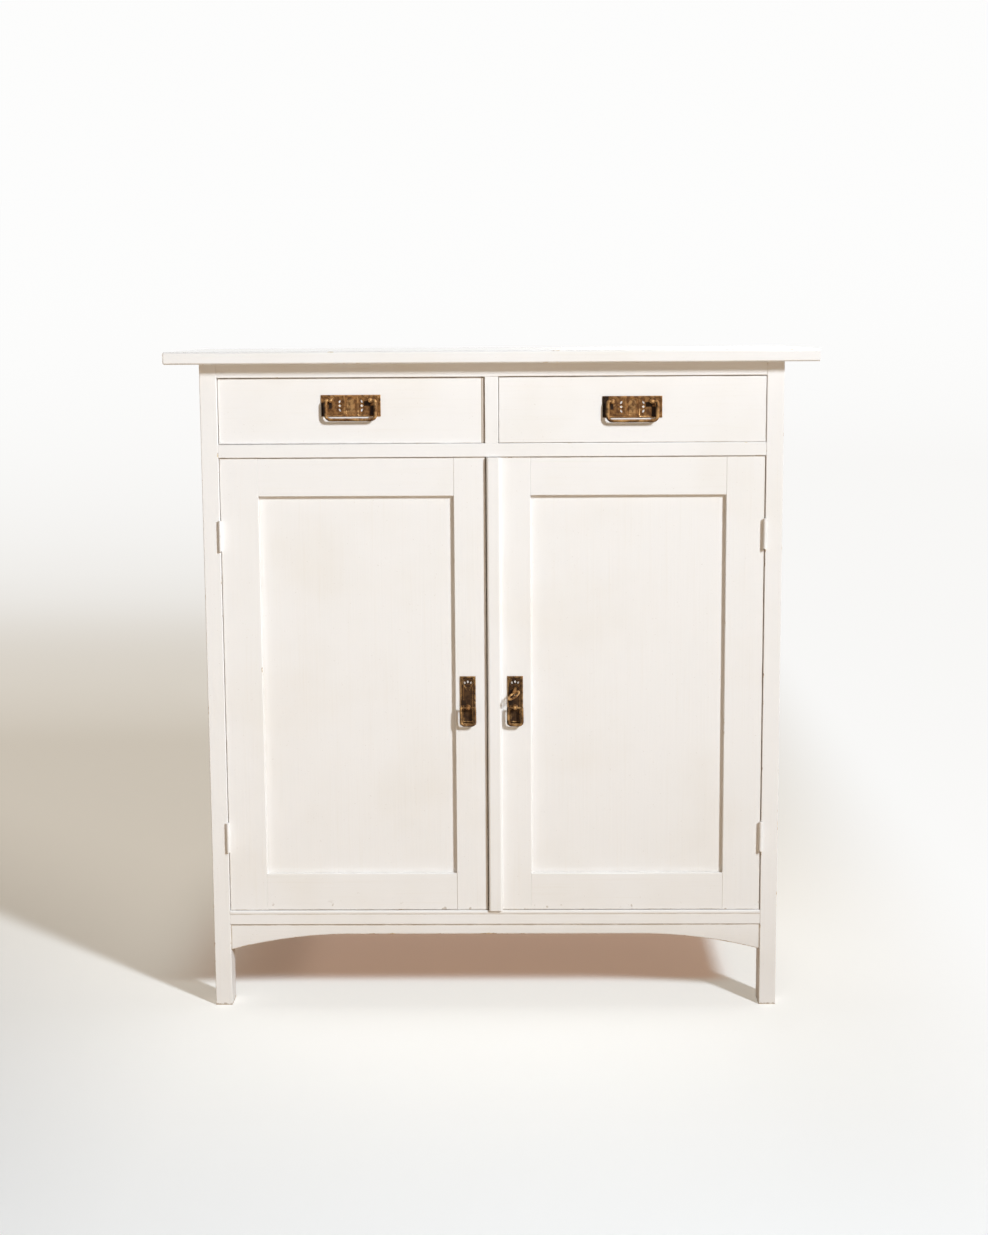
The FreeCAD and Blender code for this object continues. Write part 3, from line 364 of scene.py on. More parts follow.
# Apron: a thin pine board under the bottom rail, tenoned into the posts. Its lower edge is sawn
# level in the middle and in a wide bend towards each post, then rounded over by hand. The paint is
# worn and yellowed along that edge.
def skin(name, body, slot, material, grids, replaced=(), marks=None, sharp=0.6, merged=1e-7):
    """One mesh from grids of points: rows follow the path and columns go round the section. A grid
    whose last row is its first is a ring; any other is closed by a flat face at each end. Marks
    are values that the points carry. Points closer than merged become one, and edges folded by
    more than sharp, in radians, stay sharp."""
    points = []
    faces = []
    start = 0
    for grid in grids:
        index = start + np.arange(grid.shape[0] * grid.shape[1]).reshape(grid.shape[:2])
        beside = np.roll(index, -1, axis=1)
        walls = np.stack([index[:-1], beside[:-1], beside[1:], index[1:]], axis=-1)
        faces += walls.reshape(-1, 4).tolist()
        if not np.allclose(grid[0], grid[-1], atol=1e-9):
            faces += [index[0].tolist(), index[-1].tolist()]
        points.append(grid.reshape(-1, 3))
        start += index.size
    mesh = bpy.data.meshes.new(name)
    mesh.from_pydata(np.concatenate(points).tolist(), [], faces)
    for label, values in (marks or {}).items():
        mesh.attributes.new(label, "FLOAT", "POINT").data.foreach_set("value", values.ravel())
    shell = bmesh.new()
    shell.from_mesh(mesh)
    bmesh.ops.remove_doubles(shell, verts=shell.verts, dist=merged)
    bmesh.ops.recalc_face_normals(shell, faces=shell.faces)
    shell.to_mesh(mesh)
    shell.free()
    mesh.polygons.foreach_set("use_smooth", np.ones(len(mesh.polygons), dtype=bool))
    mesh.set_sharp_from_angle(angle=sharp)
    mesh.materials.append(material)
    piece = put(name, mesh)
    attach(piece, body)
    if replaced:
        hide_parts(*replaced)


apron_low, apron_high = np.array(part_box("front_apron"))
apron_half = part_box("front_right_post")[0].x
apron_top = apron_high[2]
apron_crown = apron_top - 0.018
apron_rise = 0.0265
apron_run = 0.205
apron_round = 0.0025
# The bend is part of a circle that touches the level middle and ends at the post.
apron_radius = (apron_run ** 2 + apron_rise ** 2) / (2 * apron_rise)
apron_x = np.linspace(-apron_half, apron_half, 181)
past_crown = np.maximum(np.abs(apron_x) - (apron_half - apron_run), 0)
apron_edge = apron_crown - apron_radius + np.sqrt(apron_radius ** 2 - past_crown ** 2)
# The section goes down the front, round the lower edge by two quarter circles and up the back: its
# depth is the same all along, and its height is the sawn edge's plus the quarter circle's.
turn = np.linspace(0, np.pi / 2, 5)
apron_depth = np.concatenate([
    [apron_low[1]], apron_low[1] + apron_round * (1 - np.cos(turn)),
    apron_high[1] - apron_round * (1 - np.sin(turn)), [apron_high[1]],
])
apron_lift = np.concatenate([
    [0], apron_round * (1 - np.sin(turn)), apron_round * (1 - np.cos(turn)), [0],
])
apron_height = apron_edge[:, None] + apron_lift
apron_height[:, [0, -1]] = apron_top
apron_grid = np.stack(np.broadcast_arrays(apron_x[:, None], apron_depth, apron_height), -1)
from_edge = np.broadcast_to(apron_lift, apron_height.shape).copy()
from_edge[:, [0, -1]] = (apron_top - apron_edge)[:, None]


def mark(tree, label):
    """The value that the mesh carries under a label."""
    return add_node(tree, "Attribute", attribute_name=label)["Fac"]


def apron_soil_and_shade(tree):
    """A brown band under the bottom rail, which is painted shade of the rail made patchy like dirty
    paint, and dirty joints against the posts.
    """
    place = where(tree)
    aside, _, height = split(place)
    under_rail = fade(height, apron_top - 0.0035, apron_top - 0.0012)
    by_post = fade(reckon("ABSOLUTE", aside), apron_half - 0.003, apron_half - 0.0008)
    darkening = fade(patches(place, 40.0), 0.3, 0.65, 0.3, 0.8)
    return overlap(reckon("MAXIMUM", under_rail, by_post), darkening)


# The wear follows the sawn edge: the mesh carries each point's height above it.
apron_paint = painted(
    "apron_paint", 0, None, amount=0.48, reach=0.007, soil=apron_soil_and_shade,
    distance=lambda tree: mark(tree, "from_edge"),
)
skin(
    "apron_sawn", "case", "white_paint", apron_paint, [apron_grid],
    replaced=["front_apron"], marks={"from_edge": from_edge},
)


# Bead: a small moulding planed along the upper arris of the bottom rail, between the posts, and
# painted with it. Its section is half an ellipse, which stands out from the rail's face.
bead_stand = 0.0009
bead_sunk = 0.0003
bead_below = 0.0002
turn = np.linspace(0, np.pi, 9)
bead_depth = rail_low[1] + bead_sunk - (bead_stand + bead_sunk) * np.sin(turn)
bead_rise = rail_high[2] - bead_height / 2 - bead_below + bead_height / 2 * np.cos(turn)
bead_x = np.linspace(-apron_half, apron_half, 5)
bead_grid = np.stack(np.broadcast_arrays(bead_x[:, None], bead_depth, bead_rise), -1)
bead_paint = painted("bead_paint", 0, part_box("bottom_front_rail"), amount=0.36)
skin("bottom_rail_bead", "case", "white_paint", bead_paint, [bead_grid])


# Sides: each is a frame of two wide rails tenoned between the posts and a thin panel that floats
# in their grooves. They are painted outside and left as bare, darkened pine inside.
EARLY_WOOD = (0.60, 0.41, 0.22, 1)
LATE_WOOD = (0.36, 0.19, 0.075, 1)
KNOT_WOOD = (0.17, 0.08, 0.035, 1)
OLD_WOOD = (0.30, 0.21, 0.13, 1)
pine, taken, given = effect(
    "pine_grain",
    {"Vector": "Vector", "Board": "Vector", "Age": "Float"},
    {"Colour": "Color", "Roughness": "Float", "Height": "Float"},
)
# Each board gets its own piece of the log: its number picks how far it is shifted across the rings.
board = shift("SNAP", taken["Vector"], taken["Board"])
chance = step("TexWhiteNoise", {"Vector": board})["Color"]
sawn_from = shift("MULTIPLY_ADD", chance, (0.24, 0.07, 5.0), taken["Vector"])
sawn_from = shift("SUBTRACT", sawn_from, (0.12, -0.02, 0.0))
drift = shift("MULTIPLY", sawn_from, (7.0, 7.0, 1.1))
drift = step("TexNoise", {"Vector": drift, "Scale": 1.0, "Detail": 2.0})["Color"]
bowed = shift("MULTIPLY_ADD", drift, (0.035, 0.035, 0.0), sawn_from)
across, deep, _ = split(bowed)
# Growth rings are circles about the log's heart: pale wood darkens slowly to a sharp dark line.
RINGS_PER_METRE = 210.0
from_heart = step("CombineXYZ", {0: across, 1: deep})[0]
from_heart = step("VectorMath", {0: from_heart}, operation="LENGTH")["Value"]
ring = reckon("FRACT", reckon("MULTIPLY", from_heart, RINGS_PER_METRE))
dark_line = reckon("SUBTRACT", fade(ring, 0.35, 0.9), fade(ring, 0.92, 1.0))
fibre = patches(shift("MULTIPLY", sawn_from, (700.0, 700.0, 14.0)), 1.0, 3.0)
blotch = patches(shift("MULTIPLY", sawn_from, (9.0, 9.0, 2.0)), 1.0, 4.0)
knot_cell = shift("MULTIPLY", sawn_from, (9.0, 9.0, 2.6))
knot = step("TexVoronoi", {"Vector": knot_cell, "Scale": 1.0})["Distance"]
colour = tint(reckon("MULTIPLY", dark_line, 0.6), EARLY_WOOD, LATE_WOOD)
colour = tint(fade(fibre, 0.5, 0.75, 0.0, 0.3), colour, LATE_WOOD)
colour = tint(fade(knot, 0.13, 0.08), colour, KNOT_WOOD)
soiled = reckon("MULTIPLY", fade(blotch, 0.3, 0.75), taken["Age"])
pine.links.new(tint(soiled, colour, OLD_WOOD), given["Colour"])
pine.links.new(fade(fibre, 0.3, 0.7, 0.55, 0.75), given["Roughness"])
pine.links.new(reckon("MULTIPLY_ADD", dark_line, 0.5, fibre), given["Height"])

# A size longer than any board leaves a piece undivided that way.
WHOLE = 9.0


def bare_pine(name, along, boards, age):
    """Planed, unpainted pine with its grain along one axis (0, 1 or 2), in boards of a given size
    measured across, through and along the grain, darkened by its age from 0 to 1."""

    def timber(tree):
        parts = split(where(tree))
        turned = {place: parts[(along + 1 + place) % 3] for place in range(3)}
        feeds = {"Vector": step("CombineXYZ", turned)[0], "Board": boards, "Age": age}
        return add_node(tree, "Group", feeds, node_tree=pine)

    return finish(name, timber, strength=0.3, distance=0.0006)


for side, inwards in (("left", (1, 0, 0)), ("right", (-1, 0, 0))):
    for part, along, boards, amount in (
        ("rails", 1, (0.4, WHOLE, WHOLE), 0.40), ("panel", 2, (0.11, 0.11, WHOLE), 0.0),
    ):
        node = f"{side}_side_{part}"
        inside = bare_pine(node + "_inside", along, boards, age=0.7)
        paint_board(node, "case", along, inside=[inside], bare_side=inwards, amount=amount)


# Back: eight tongued pine boards in a rebate of the rear posts, nailed from behind to three rails
# with two round-headed iron nails to each crossing. Wood and nails are bare, brown with age.
board_count = 8
board_pitch = 0.114125
nail_aside = 0.032
nail_heights = (0.132, 0.928, 1.052)
nail_radius = 0.0026
nail_rise = 0.0007


def pine_board(node, body, along, boards, age, width=0.0009):
    """A bare board, or several alike, with the arrises eased."""
    eased(node, body, [bare_pine(node + "_pine", along, boards, age)], width=width)


pine_board("back_rails", "case", 0, (WHOLE, 0.3, WHOLE), age=0.9)
pine_board("back_boards", "case", 2, (board_pitch, WHOLE, WHOLE), age=0.9, width=0.0012)


def dome(centre, facing, radius, rise):
    """A round head: circles that shrink from the rim to the crown by the cosine of a tilt, and
    rise by its sine. The two directions of the circles lie square to where the head faces."""
    tilt = np.linspace(0, np.pi / 2, 5)[:, None]
    spin = np.linspace(0, 2 * np.pi, 12, endpoint=False)
    facing = np.array(facing, float)
    first = np.cross(facing, (0.3, 0.9, 0.5))
    first /= np.linalg.norm(first)
    second = np.cross(facing, first)
    ring = np.cos(spin)[:, None] * first + np.sin(spin)[:, None] * second
    wide = radius * np.cos(tilt)[..., None] * ring
    high = rise * np.sin(tilt)[..., None] * facing
    return np.array(centre) + wide + high


IRON = (0.16, 0.13, 0.11, 1)
RUST = (0.23, 0.10, 0.045, 1)


def rusted(tree):
    """Grey-brown iron with rust in small patches."""
    rust = patches(where(tree), 260.0, 4.0)
    return {
        "Colour": tint(fade(rust, 0.42, 0.62), IRON, RUST),
        "Roughness": fade(rust, 0.3, 0.7, 0.45, 0.8),
        "Height": rust,
    }


iron = finish("nail_iron", rusted, strength=0.3, distance=0.0004, Metallic=0.8)
board_x = (np.arange(board_count) - (board_count - 1) / 2) * board_pitch
nail_x = board_x[:, None] + np.array([-nail_aside, nail_aside])
back_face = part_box("back_boards")[1].y
nail_heads = [
    dome((x, back_face, z), (0, 1, 0), nail_radius, nail_rise)
    for z in nail_heights for x in nail_x.ravel()
]
skin("back_nails", "case", "lock_steel", iron, nail_heads)


# Inside: a pine floor lapped over the front and back rails, two loose shelves on cleats fixed to
# the posts, and the runners, kickers and guide that the drawers slide between. All bare pine.
ONE_BOARD = (WHOLE, WHOLE, WHOLE)
for piece, along, boards in (
    ("cupboard_floor", 0, (0.13, WHOLE, WHOLE)),
    ("shelves", 0, (0.12, 0.15, WHOLE)),
    ("shelf_cleats", 1, (0.15, 0.4, WHOLE)),
    ("drawer_runners", 1, (WHOLE, 0.2, WHOLE)),
    ("drawer_kickers", 1, (WHOLE, 0.2, WHOLE)),
    ("drawer_guide", 1, ONE_BOARD),
):
    pine_board(piece, "case", along, boards, age=0.6)


# Drawers: pine boxes with dovetailed corners. Each front is painted outside, and its sides, back
# and thin bottom, which slides in grooves, are bare pine rubbed pale by use.
border_soil, taken, given = effect(
    "border_soil",
    {"Low": "Vector", "High": "Vector", "Reach": "Float", "Most": "Float", "Drops": "Float"},
    {"Brown": "Float"},
)
place = where(border_soil)
inside_x, _, inside_z = to_sides(border_soil, taken["Low"], taken["High"])
border = fade(reckon("MINIMUM", inside_x, inside_z), taken["Reach"], 0.0)
dust = fade(patches(place, 30.0), 0.35, 0.7, 0.25, 1.0)
# Brown drops can hang near the lower border.
from_low = split(shift("SUBTRACT", place, taken["Low"]))
low_down = fade(from_low["Z"], 0.02, 0.004)
drops = fade(patches(place, 70.0, 2.0), 0.66, 0.72)
drops = overlap(drops, low_down, taken["Drops"])
soiled = reckon("MULTIPLY_ADD", border, dust, drops)
border_soil.links.new(reckon("MULTIPLY", soiled, taken["Most"]), given["Brown"])


def soiled_border(low, high, reach, most, drops=0.0):
    """Dirt that gathers along the border of a board or a frame, up to a share of the colour."""

    def soil(tree):
        feeds = {"Low": low, "High": high, "Reach": reach, "Most": most, "Drops": drops}
        return add_node(tree, "Group", feeds, node_tree=border_soil)["Brown"]

    return soil


def shadow_beside_divider(border, edge):
    """The border's dirty marks and a brown band of painted shadow near the divider, behind which
    that drawer is set back.
    """

    def soil(tree):
        inwards = reckon("SUBTRACT", edge, split(where(tree))["X"])
        starts = fade(inwards, 0.0024, 0.0036, 0.0, 0.85)
        band = overlap(starts, fade(inwards, 0.0056, 0.0048))
        return reckon("MAXIMUM", band, border(tree))

    return soil


for side in ("left", "right"):
    body = side + "_drawer"
    front = side + "_drawer_front"
    low, high = np.array(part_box(front))
    front_soil_and_shadow = soiled_border(low, high, reach=0.0022, most=0.6)
    # The left drawer also takes a band of painted shadow beside the divider.
    if side == "left":
        front_soil_and_shadow = shadow_beside_divider(front_soil_and_shadow, high[0])
    inside = bare_pine(front + "_inside", 0, ONE_BOARD, age=0.3)
    paint_board(
        front, body, 0, inside=[inside], bare_side=(0, 1, 0), amount=0.38, soil=front_soil_and_shadow
    )
    for part, along, boards in (
        ("sides", 1, (0.3, 0.2, WHOLE)), ("back", 0, ONE_BOARD),
        ("bottom", 0, (0.14, WHOLE, WHOLE)),
    ):
        pine_board(f"{side}_drawer_{part}", body, along, boards, age=0.3, width=0.0006)


# Doors: framed pine doors. Two stiles and two rails are tenoned together and grooved for a thin
# flat panel; the right door carries the rounded strip that covers the gap. Painted all over.
panel_tongue = np.array([0.007, 0.0, 0.007])
for side in ("left", "right"):
    body = side + "_door"
    panel = side + "_door_panel"
    low, high = np.array(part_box(panel))
    shows = (low + panel_tongue, high - panel_tongue)
    panel_soil = soiled_border(*shows, reach=0.006, most=0.14)
    paint_board(panel, body, 2, amount=0.0, soil=panel_soil)
    parts = (("hinge_stile", 2, 0.41), ("meeting_stile", 2, 0.41), ("rails", 0, 0.44))
    lows, highs = np.moveaxis([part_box(f"{side}_door_{part}") for part, _, _ in parts], 1, 0)
    door_soil = soiled_border(lows.min(0), highs.max(0), reach=0.0026, most=0.65, drops=0.8)
    for part, along, amount in parts:
        paint_board(f"{side}_door_{part}", body, along, amount=amount, soil=door_soil)
paint_board("meeting_strip", "right_door", 2, label="strip", width=0.0003, amount=0.40)


# Hinges: four iron butt hinges, two to a door, each of two leaves on a pin. They are let into the
# door and the post and painted over with them, so that only the knuckles show at the front.
hinge_paint = painted("hinge_paint", 2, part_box("hinge_post_leaves"), amount=0.0)
for node in (
    "hinge_post_leaves", "hinge_pins", "left_door_hinge_leaves", "right_door_hinge_leaves",
):
    frame["nodes"][node].material_slots[0].material = hinge_paint


# Drawer pulls: cast and pierced brass plates pinned to the drawer fronts, with two turned posts
# each and a round bail hung between them. The brass is dark brown with age and rubbed golden on
# its raised lines.
BRASS = (0.33, 0.157, 0.052, 1)
BROWN_BRASS = (0.12, 0.05, 0.017, 1)
BLACK_BRASS = (0.012, 0.007, 0.005, 1)
GOLDEN_BRASS = (0.66, 0.385, 0.155, 1)
DARKEST, WIPED = 0.93, 0.35
# The first input darkens the brass: patina in its hollows and with age, and also painted shade and
# painted shadows.
patina, taken, given = effect(
    "brass_patina", {"Darkened": "Float", "Rubbed": "Float"},
    {"Colour": "Color", "Roughness": "Float", "Height": "Float", "Metal": "Float"},
)
place = where(patina)
stain = patches(place, 170.0, 4.0)
pits = patches(place, 900.0, 3.0)
colour = tint(fade(stain, 0.35, 0.65), BRASS, BROWN_BRASS)
colour = tint(taken["Darkened"], colour, BLACK_BRASS)
polish = reckon("MULTIPLY", taken["Rubbed"], fade(stain, 0.75, 0.4))
patina.links.new(tint(polish, colour, GOLDEN_BRASS), given["Colour"])
patina.links.new(fade(polish, 0.0, 0.8, 0.12, 0.75), given["Metal"])
graded = fade(pits, 0.3, 0.7, 0.34, 0.5)
patina.links.new(reckon("MULTIPLY_ADD", taken["Darkened"], 0.2, graded), given["Roughness"])
patina.links.new(reckon("MULTIPLY_ADD", stain, 0.5, pits), given["Height"])


def within(place, middle, halves):
    """1 inside an upright box given by its middle and half widths, fading to 0 round it."""
    apart = shift("ABSOLUTE", shift("SUBTRACT", place, middle))
    apart_x, _, apart_z = split(shift("DIVIDE", apart, halves))
    return fade(reckon("MAXIMUM", apart_x, apart_z), 1.15, 0.8)


def aged_brass(name, rubbing, dark=0.0, face=None, hollow=0.0, field=None, grime=()):
    """Brass that is darkened by a share, more on the side marked as painted shade, in boxes of
    painted shadow and in the hollows behind a plate's face. It is rubbed in patches, on marked
    arrises and in a field."""

    def surface(tree):
        place = where(tree)
        rub = fade(patches(place, 60.0), 0.4, 0.65, 0.0, rubbing)
        rub = reckon("MAXIMUM", rub, mark(tree, "arris"))
        # The marked side, facing away from the lamp, is darkened as painted shade.
        shade = fade(mark(tree, "painted_shade_side"), 0.0, 1.0, dark, DARKEST)
        if face is not None:
            depth = split(place)["Y"]
            sunk = fade(depth, face + 0.0001, face + 0.0006, 0.0, hollow)
            shade = reckon("MAXIMUM", shade, sunk)
        if field:
            rub = reckon("MAXIMUM", rub, reckon("MULTIPLY", within(place, *field), WIPED))
        # Each box is painted shadow: darkened, and never rubbed.
        for box in grime:
            darkening = within(place, *box)
            shade = reckon("MAXIMUM", shade, reckon("MULTIPLY", darkening, DARKEST))
            rub = overlap(rub, reckon("SUBTRACT", 1.0, darkening))
        return add_node(tree, "Group", {"Darkened": shade, "Rubbed": rub}, node_tree=patina)

    low_gloss = {"Specular IOR Level": 0.12}
    return finish(name, surface, strength=0.22, distance=0.0003, **low_gloss)


def painted_shade_side(path, grid):
    """How far each point of a bar faces left or down, away from the lamp, which is darkened as
    painted
    shade: 0.42 less 0.8 of the X and 0.5 of the Z of its direction out of the path, kept between 0
    and 1."""
    out = grid - path[:, None]
    out = out / np.linalg.norm(out, axis=-1, keepdims=True)
    return np.clip(0.42 - 0.8 * out[..., 0] - 0.5 * out[..., 2], 0, 1).ravel()


def bent(corners, radii, steps=7):
    """A path of straight runs between corners, each inner corner rounded by a circle that touches
    both runs; the circle's points are spaced by equal angles."""
    corners = np.array(corners, float)
    path = [corners[:1]]
    for before, corner, after, radius in zip(corners, corners[1:], corners[2:], radii):
        back = (before - corner) / np.linalg.norm(before - corner)
        ahead = (after - corner) / np.linalg.norm(after - corner)
        half = np.arccos(np.clip(back @ ahead, -1, 1)) / 2
        middle = (back + ahead) / np.linalg.norm(back + ahead)
        centre = corner + middle * radius / np.sin(half)
        sweep = np.linspace(half - np.pi / 2, np.pi / 2 - half, steps)[:, None]
        flat = (ahead - back) / np.linalg.norm(ahead - back)
        path.append(centre + radius * (np.sin(sweep) * flat - np.cos(sweep) * middle))
    path.append(corners[-1:])
    return np.concatenate(path)


def spaced(path, apart):
    """The same path with its points evenly apart, and each point's length from the start."""
    length = np.concatenate([[0], np.cumsum(np.linalg.norm(np.diff(path, axis=0), axis=1))])
    even = np.linspace(0, length[-1], int(np.ceil(length[-1] / apart)) + 1)
    return np.stack([np.interp(even, length, path[:, axis]) for axis in range(3)], 1), even


def swept(path, across, radius, flatness=1.0, columns=14):
    """A round bar along a path that lies in one plane: each row is a circle of the given radius in
    the path's own normal and the plane's normal, narrowed along the second by flatness."""
    along = np.gradient(path, axis=0)
    along /= np.linalg.norm(along, axis=1, keepdims=True)
    across = np.array(across, float)
    side = np.cross(along, across)
    spin = np.linspace(0, 2 * np.pi, columns, endpoint=False)
    radius = np.broadcast_to(radius, len(path))[:, None, None]
    ring = np.cos(spin)[:, None] * side[:, None] + flatness * np.sin(spin)[:, None] * across
    return path[:, None] + radius * ring


def turned(centre, axis_y, radii, columns=20):
    """A turned piece about an axis along Y: circles of the given radii at the given depths."""
    spin = np.linspace(0, 2 * np.pi, columns, endpoint=False)
    radii = np.array(radii)[:, None]
    depth = np.broadcast_to(np.array(axis_y)[:, None], (len(radii), columns))
    return np.stack([centre[0] + radii * np.cos(spin), depth, centre[1] + radii * np.sin(spin)], -1)


def tapered(corners, radii, apart, lengths, half_widths, flatness=1.0):
    """A path bent at its corners and the round bar along it, whose half width depends on the
    distance to the nearer end, by straight steps between the lengths given."""
    path, along = spaced(bent(corners, radii), apart)
    from_end = np.minimum(along, along[-1] - along)
    return path, swept(path, (0, 1, 0), np.interp(from_end, lengths, half_widths), flatness)


def line(corners, radii, face, radius=0.00045, sunk=0.0, apart=0.0006):
    """A raised line cast on a plate: a thin round bar, half in the face or in a sunk field."""
    points = [(x, face + sunk, z) for x, z in corners]
    path, _ = spaced(bent(points, radii), apart)
    return swept(path, (0, 1, 0), radius, columns=8)


def rim_line(low, high, face, inset=0.0011, bend=0.0006):
    """The raised line round a plate, inset from its border: four runs with rounded corners."""
    left, bottom, right, top = low[0] + inset, low[2] + inset, high[0] - inset, high[2] - inset
    corners = [(left, bottom), (right, bottom), (right, top), (left, top), (left, bottom)]
    return line(corners, [bend] * 3, face)


def plate_pins(across, up, face, radius, sunk=0.0004, rise=0.0009):
    """Heads of the pins that hold a plate, one at each crossing of the places across and up."""
    return [dome((x, face + sunk, z), (0, -1, 0), radius, rise) for x in across for z in up]


def brass_plate(node, body, **looks):
    """A cast plate with its small arrises eased, which are rubbed bright."""
    brass = aged_brass(node + "_brass", 0.0, **looks)
    eased(node, body, [brass], width=0.0003, shortest=0.001)


def handle_post(x, z, face):
    """A turned post: a low collar, a waist and a ball that the pin runs through. Depths are from
    the wood's face."""
    out, wide = np.transpose([
        (0.0012, 0.0043), (0.0025, 0.0043), (0.0029, 0.0036), (0.0045, 0.0025),
        (0.0062, 0.0025), (0.0076, 0.0032), (0.0090, 0.0036), (0.0104, 0.0036),
        (0.0118, 0.0029), (0.0128, 0.0015), (0.0132, 0.0),
    ])
    return turned((x, z), face - out, wide)


pull_pin_stand = 0.0098
pull_pin_rise = 0.009
pull_post_reach = 0.032
pull_field = 0.0006
bar_reach, bar_rise = 0.0105, 0.0152
arch_reach, arch_rise, arch_bend = 0.0058, 0.0115, 0.0056
eye_radius, eye_drop, eye_bend = 0.0068, 0.001, 0.02
pull_pins_reach, pull_pins_rise, pull_pins_radius = 0.0445, 0.0138, 0.0014
bail_end = pull_post_reach - 0.0035
bail_reach = 0.0405
bail_drop = 0.0315
any_depth = 1.0
for side, end_rise in (("left", -0.0060), ("right", 0.0)):
    body = side + "_drawer"
    low, high = np.array(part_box(side + "_pull_plate"))
    wood = high[1]
    face = low[1]
    x, z = (low[0] + high[0]) / 2, (low[2] + high[2]) / 2
    field = ((x, face, z), (0.0052, any_depth, 0.0108))
    # Painted shadows: dark boxes on the plate where the bail's arms and its posts cast their shade.
    grime = [
        ((x + across, face, z + up), (half_width, any_depth, half_height))
        for across, up, half_width, half_height in (
            (-0.0440, end_rise, 0.0054, 0.0180 + end_rise), (0.0355, -0.0080, 0.0044, 0.0085),
            (0.0268, 0.0036, 0.0058, 0.0042), (-0.0335, 0.0, 0.0026, 0.0050),
        )
    ]
    brass_plate(side + "_pull_plate", body, face=face, hollow=0.25, field=field, grime=grime)
    lined_brass = aged_brass(side + "_pull_lines_brass", 0.75, grime=grime)
    post_brass = aged_brass(side + "_pull_posts_brass", 0.8)
    lines = [rim_line(low, high, face)]
    pin_z = z + pull_pin_rise
    # Upright bars beside the middle, three quarters of an eye round each post, and the arch.
    for edge in (-1, 1):
        bar = x + edge * bar_reach
        lines.append(line([(bar, z - bar_rise), (bar, z + bar_rise)], [], face))
        eye = np.linspace(0.25 * np.pi, 1.75 * np.pi, 25) + (np.pi if edge > 0 else 0.0)
        eye_x = x + edge * pull_post_reach + eye_radius * np.cos(eye)
        eye_z = pin_z - eye_drop + eye_radius * np.sin(eye)
        bends = [eye_bend] * (len(eye) - 2)
        lines.append(line(zip(eye_x, eye_z), bends, face, sunk=pull_field))
    arch = [
        (x - arch_reach, z - arch_rise), (x - arch_reach, z + arch_rise),
        (x + arch_reach, z + arch_rise), (x + arch_reach, z - arch_rise),
    ]
    lines.append(line(arch, [arch_bend] * 2, face, sunk=pull_field))
    skin(side + "_pull_lines", body, "aged_brass", lined_brass, lines)
    pins_x = (x - pull_pins_reach, x + pull_pins_reach)
    pins_z = (z - pull_pins_rise, z + pull_pins_rise)
    pins = plate_pins(pins_x, pins_z, face, pull_pins_radius)
    skin(side + "_pull_pins", body, "aged_brass", lined_brass, pins)
    posts = [handle_post(x + edge * pull_post_reach, pin_z, wood) for edge in (-1, 1)]
    skin(
        side + "_pull_posts_turned", body, "aged_brass", post_brass, posts,
        replaced=[side + "_pull_posts"],
    )
    pin_y = wood - pull_pin_stand
    corners = [
        (x - bail_end, pin_y, pin_z), (x - bail_reach, pin_y, pin_z),
        (x - bail_reach, pin_y, pin_z - bail_drop), (x + bail_reach, pin_y, pin_z - bail_drop),
        (x + bail_reach, pin_y, pin_z), (x + bail_end, pin_y, pin_z),
    ]
    path, bail = tapered(
        corners, [0.0035, 0.008, 0.008, 0.0035], 0.0012,
        [0, 0.0065, 0.0105, 0.03, 0.045], [0.0014, 0.0014, 0.0029, 0.0031, 0.0025], flatness=0.8,
    )
    # The bail's left and lower sides are darkened as painted shade.
    skin(
        side + "_pull_bail_round", side + "_bail", "aged_brass",
        aged_brass(side + "_bail_brass", 0.5), [bail], replaced=[side + "_pull_bail"],
        marks={"painted_shade_side": painted_shade_side(path, bail)},
    )


# Door plates: upright cast plates near the meeting strip, pierced with three leaves, each with a
# turned post and a small square drop that hangs from a pin. The same dark brass as the pulls.
drop_pin_stand = 0.0098
drop_pin_rise = 0.030
drop_half = 0.0115
drop_length = 0.029
drop_ear = 0.0015
drop_pin_radius = 0.0014
stalk_spreads = (0.0088, 0.0066)
stalk_bend, stalk_top, stalk_round, stalk_radius = 0.0142, 0.0052, 0.008, 0.0004
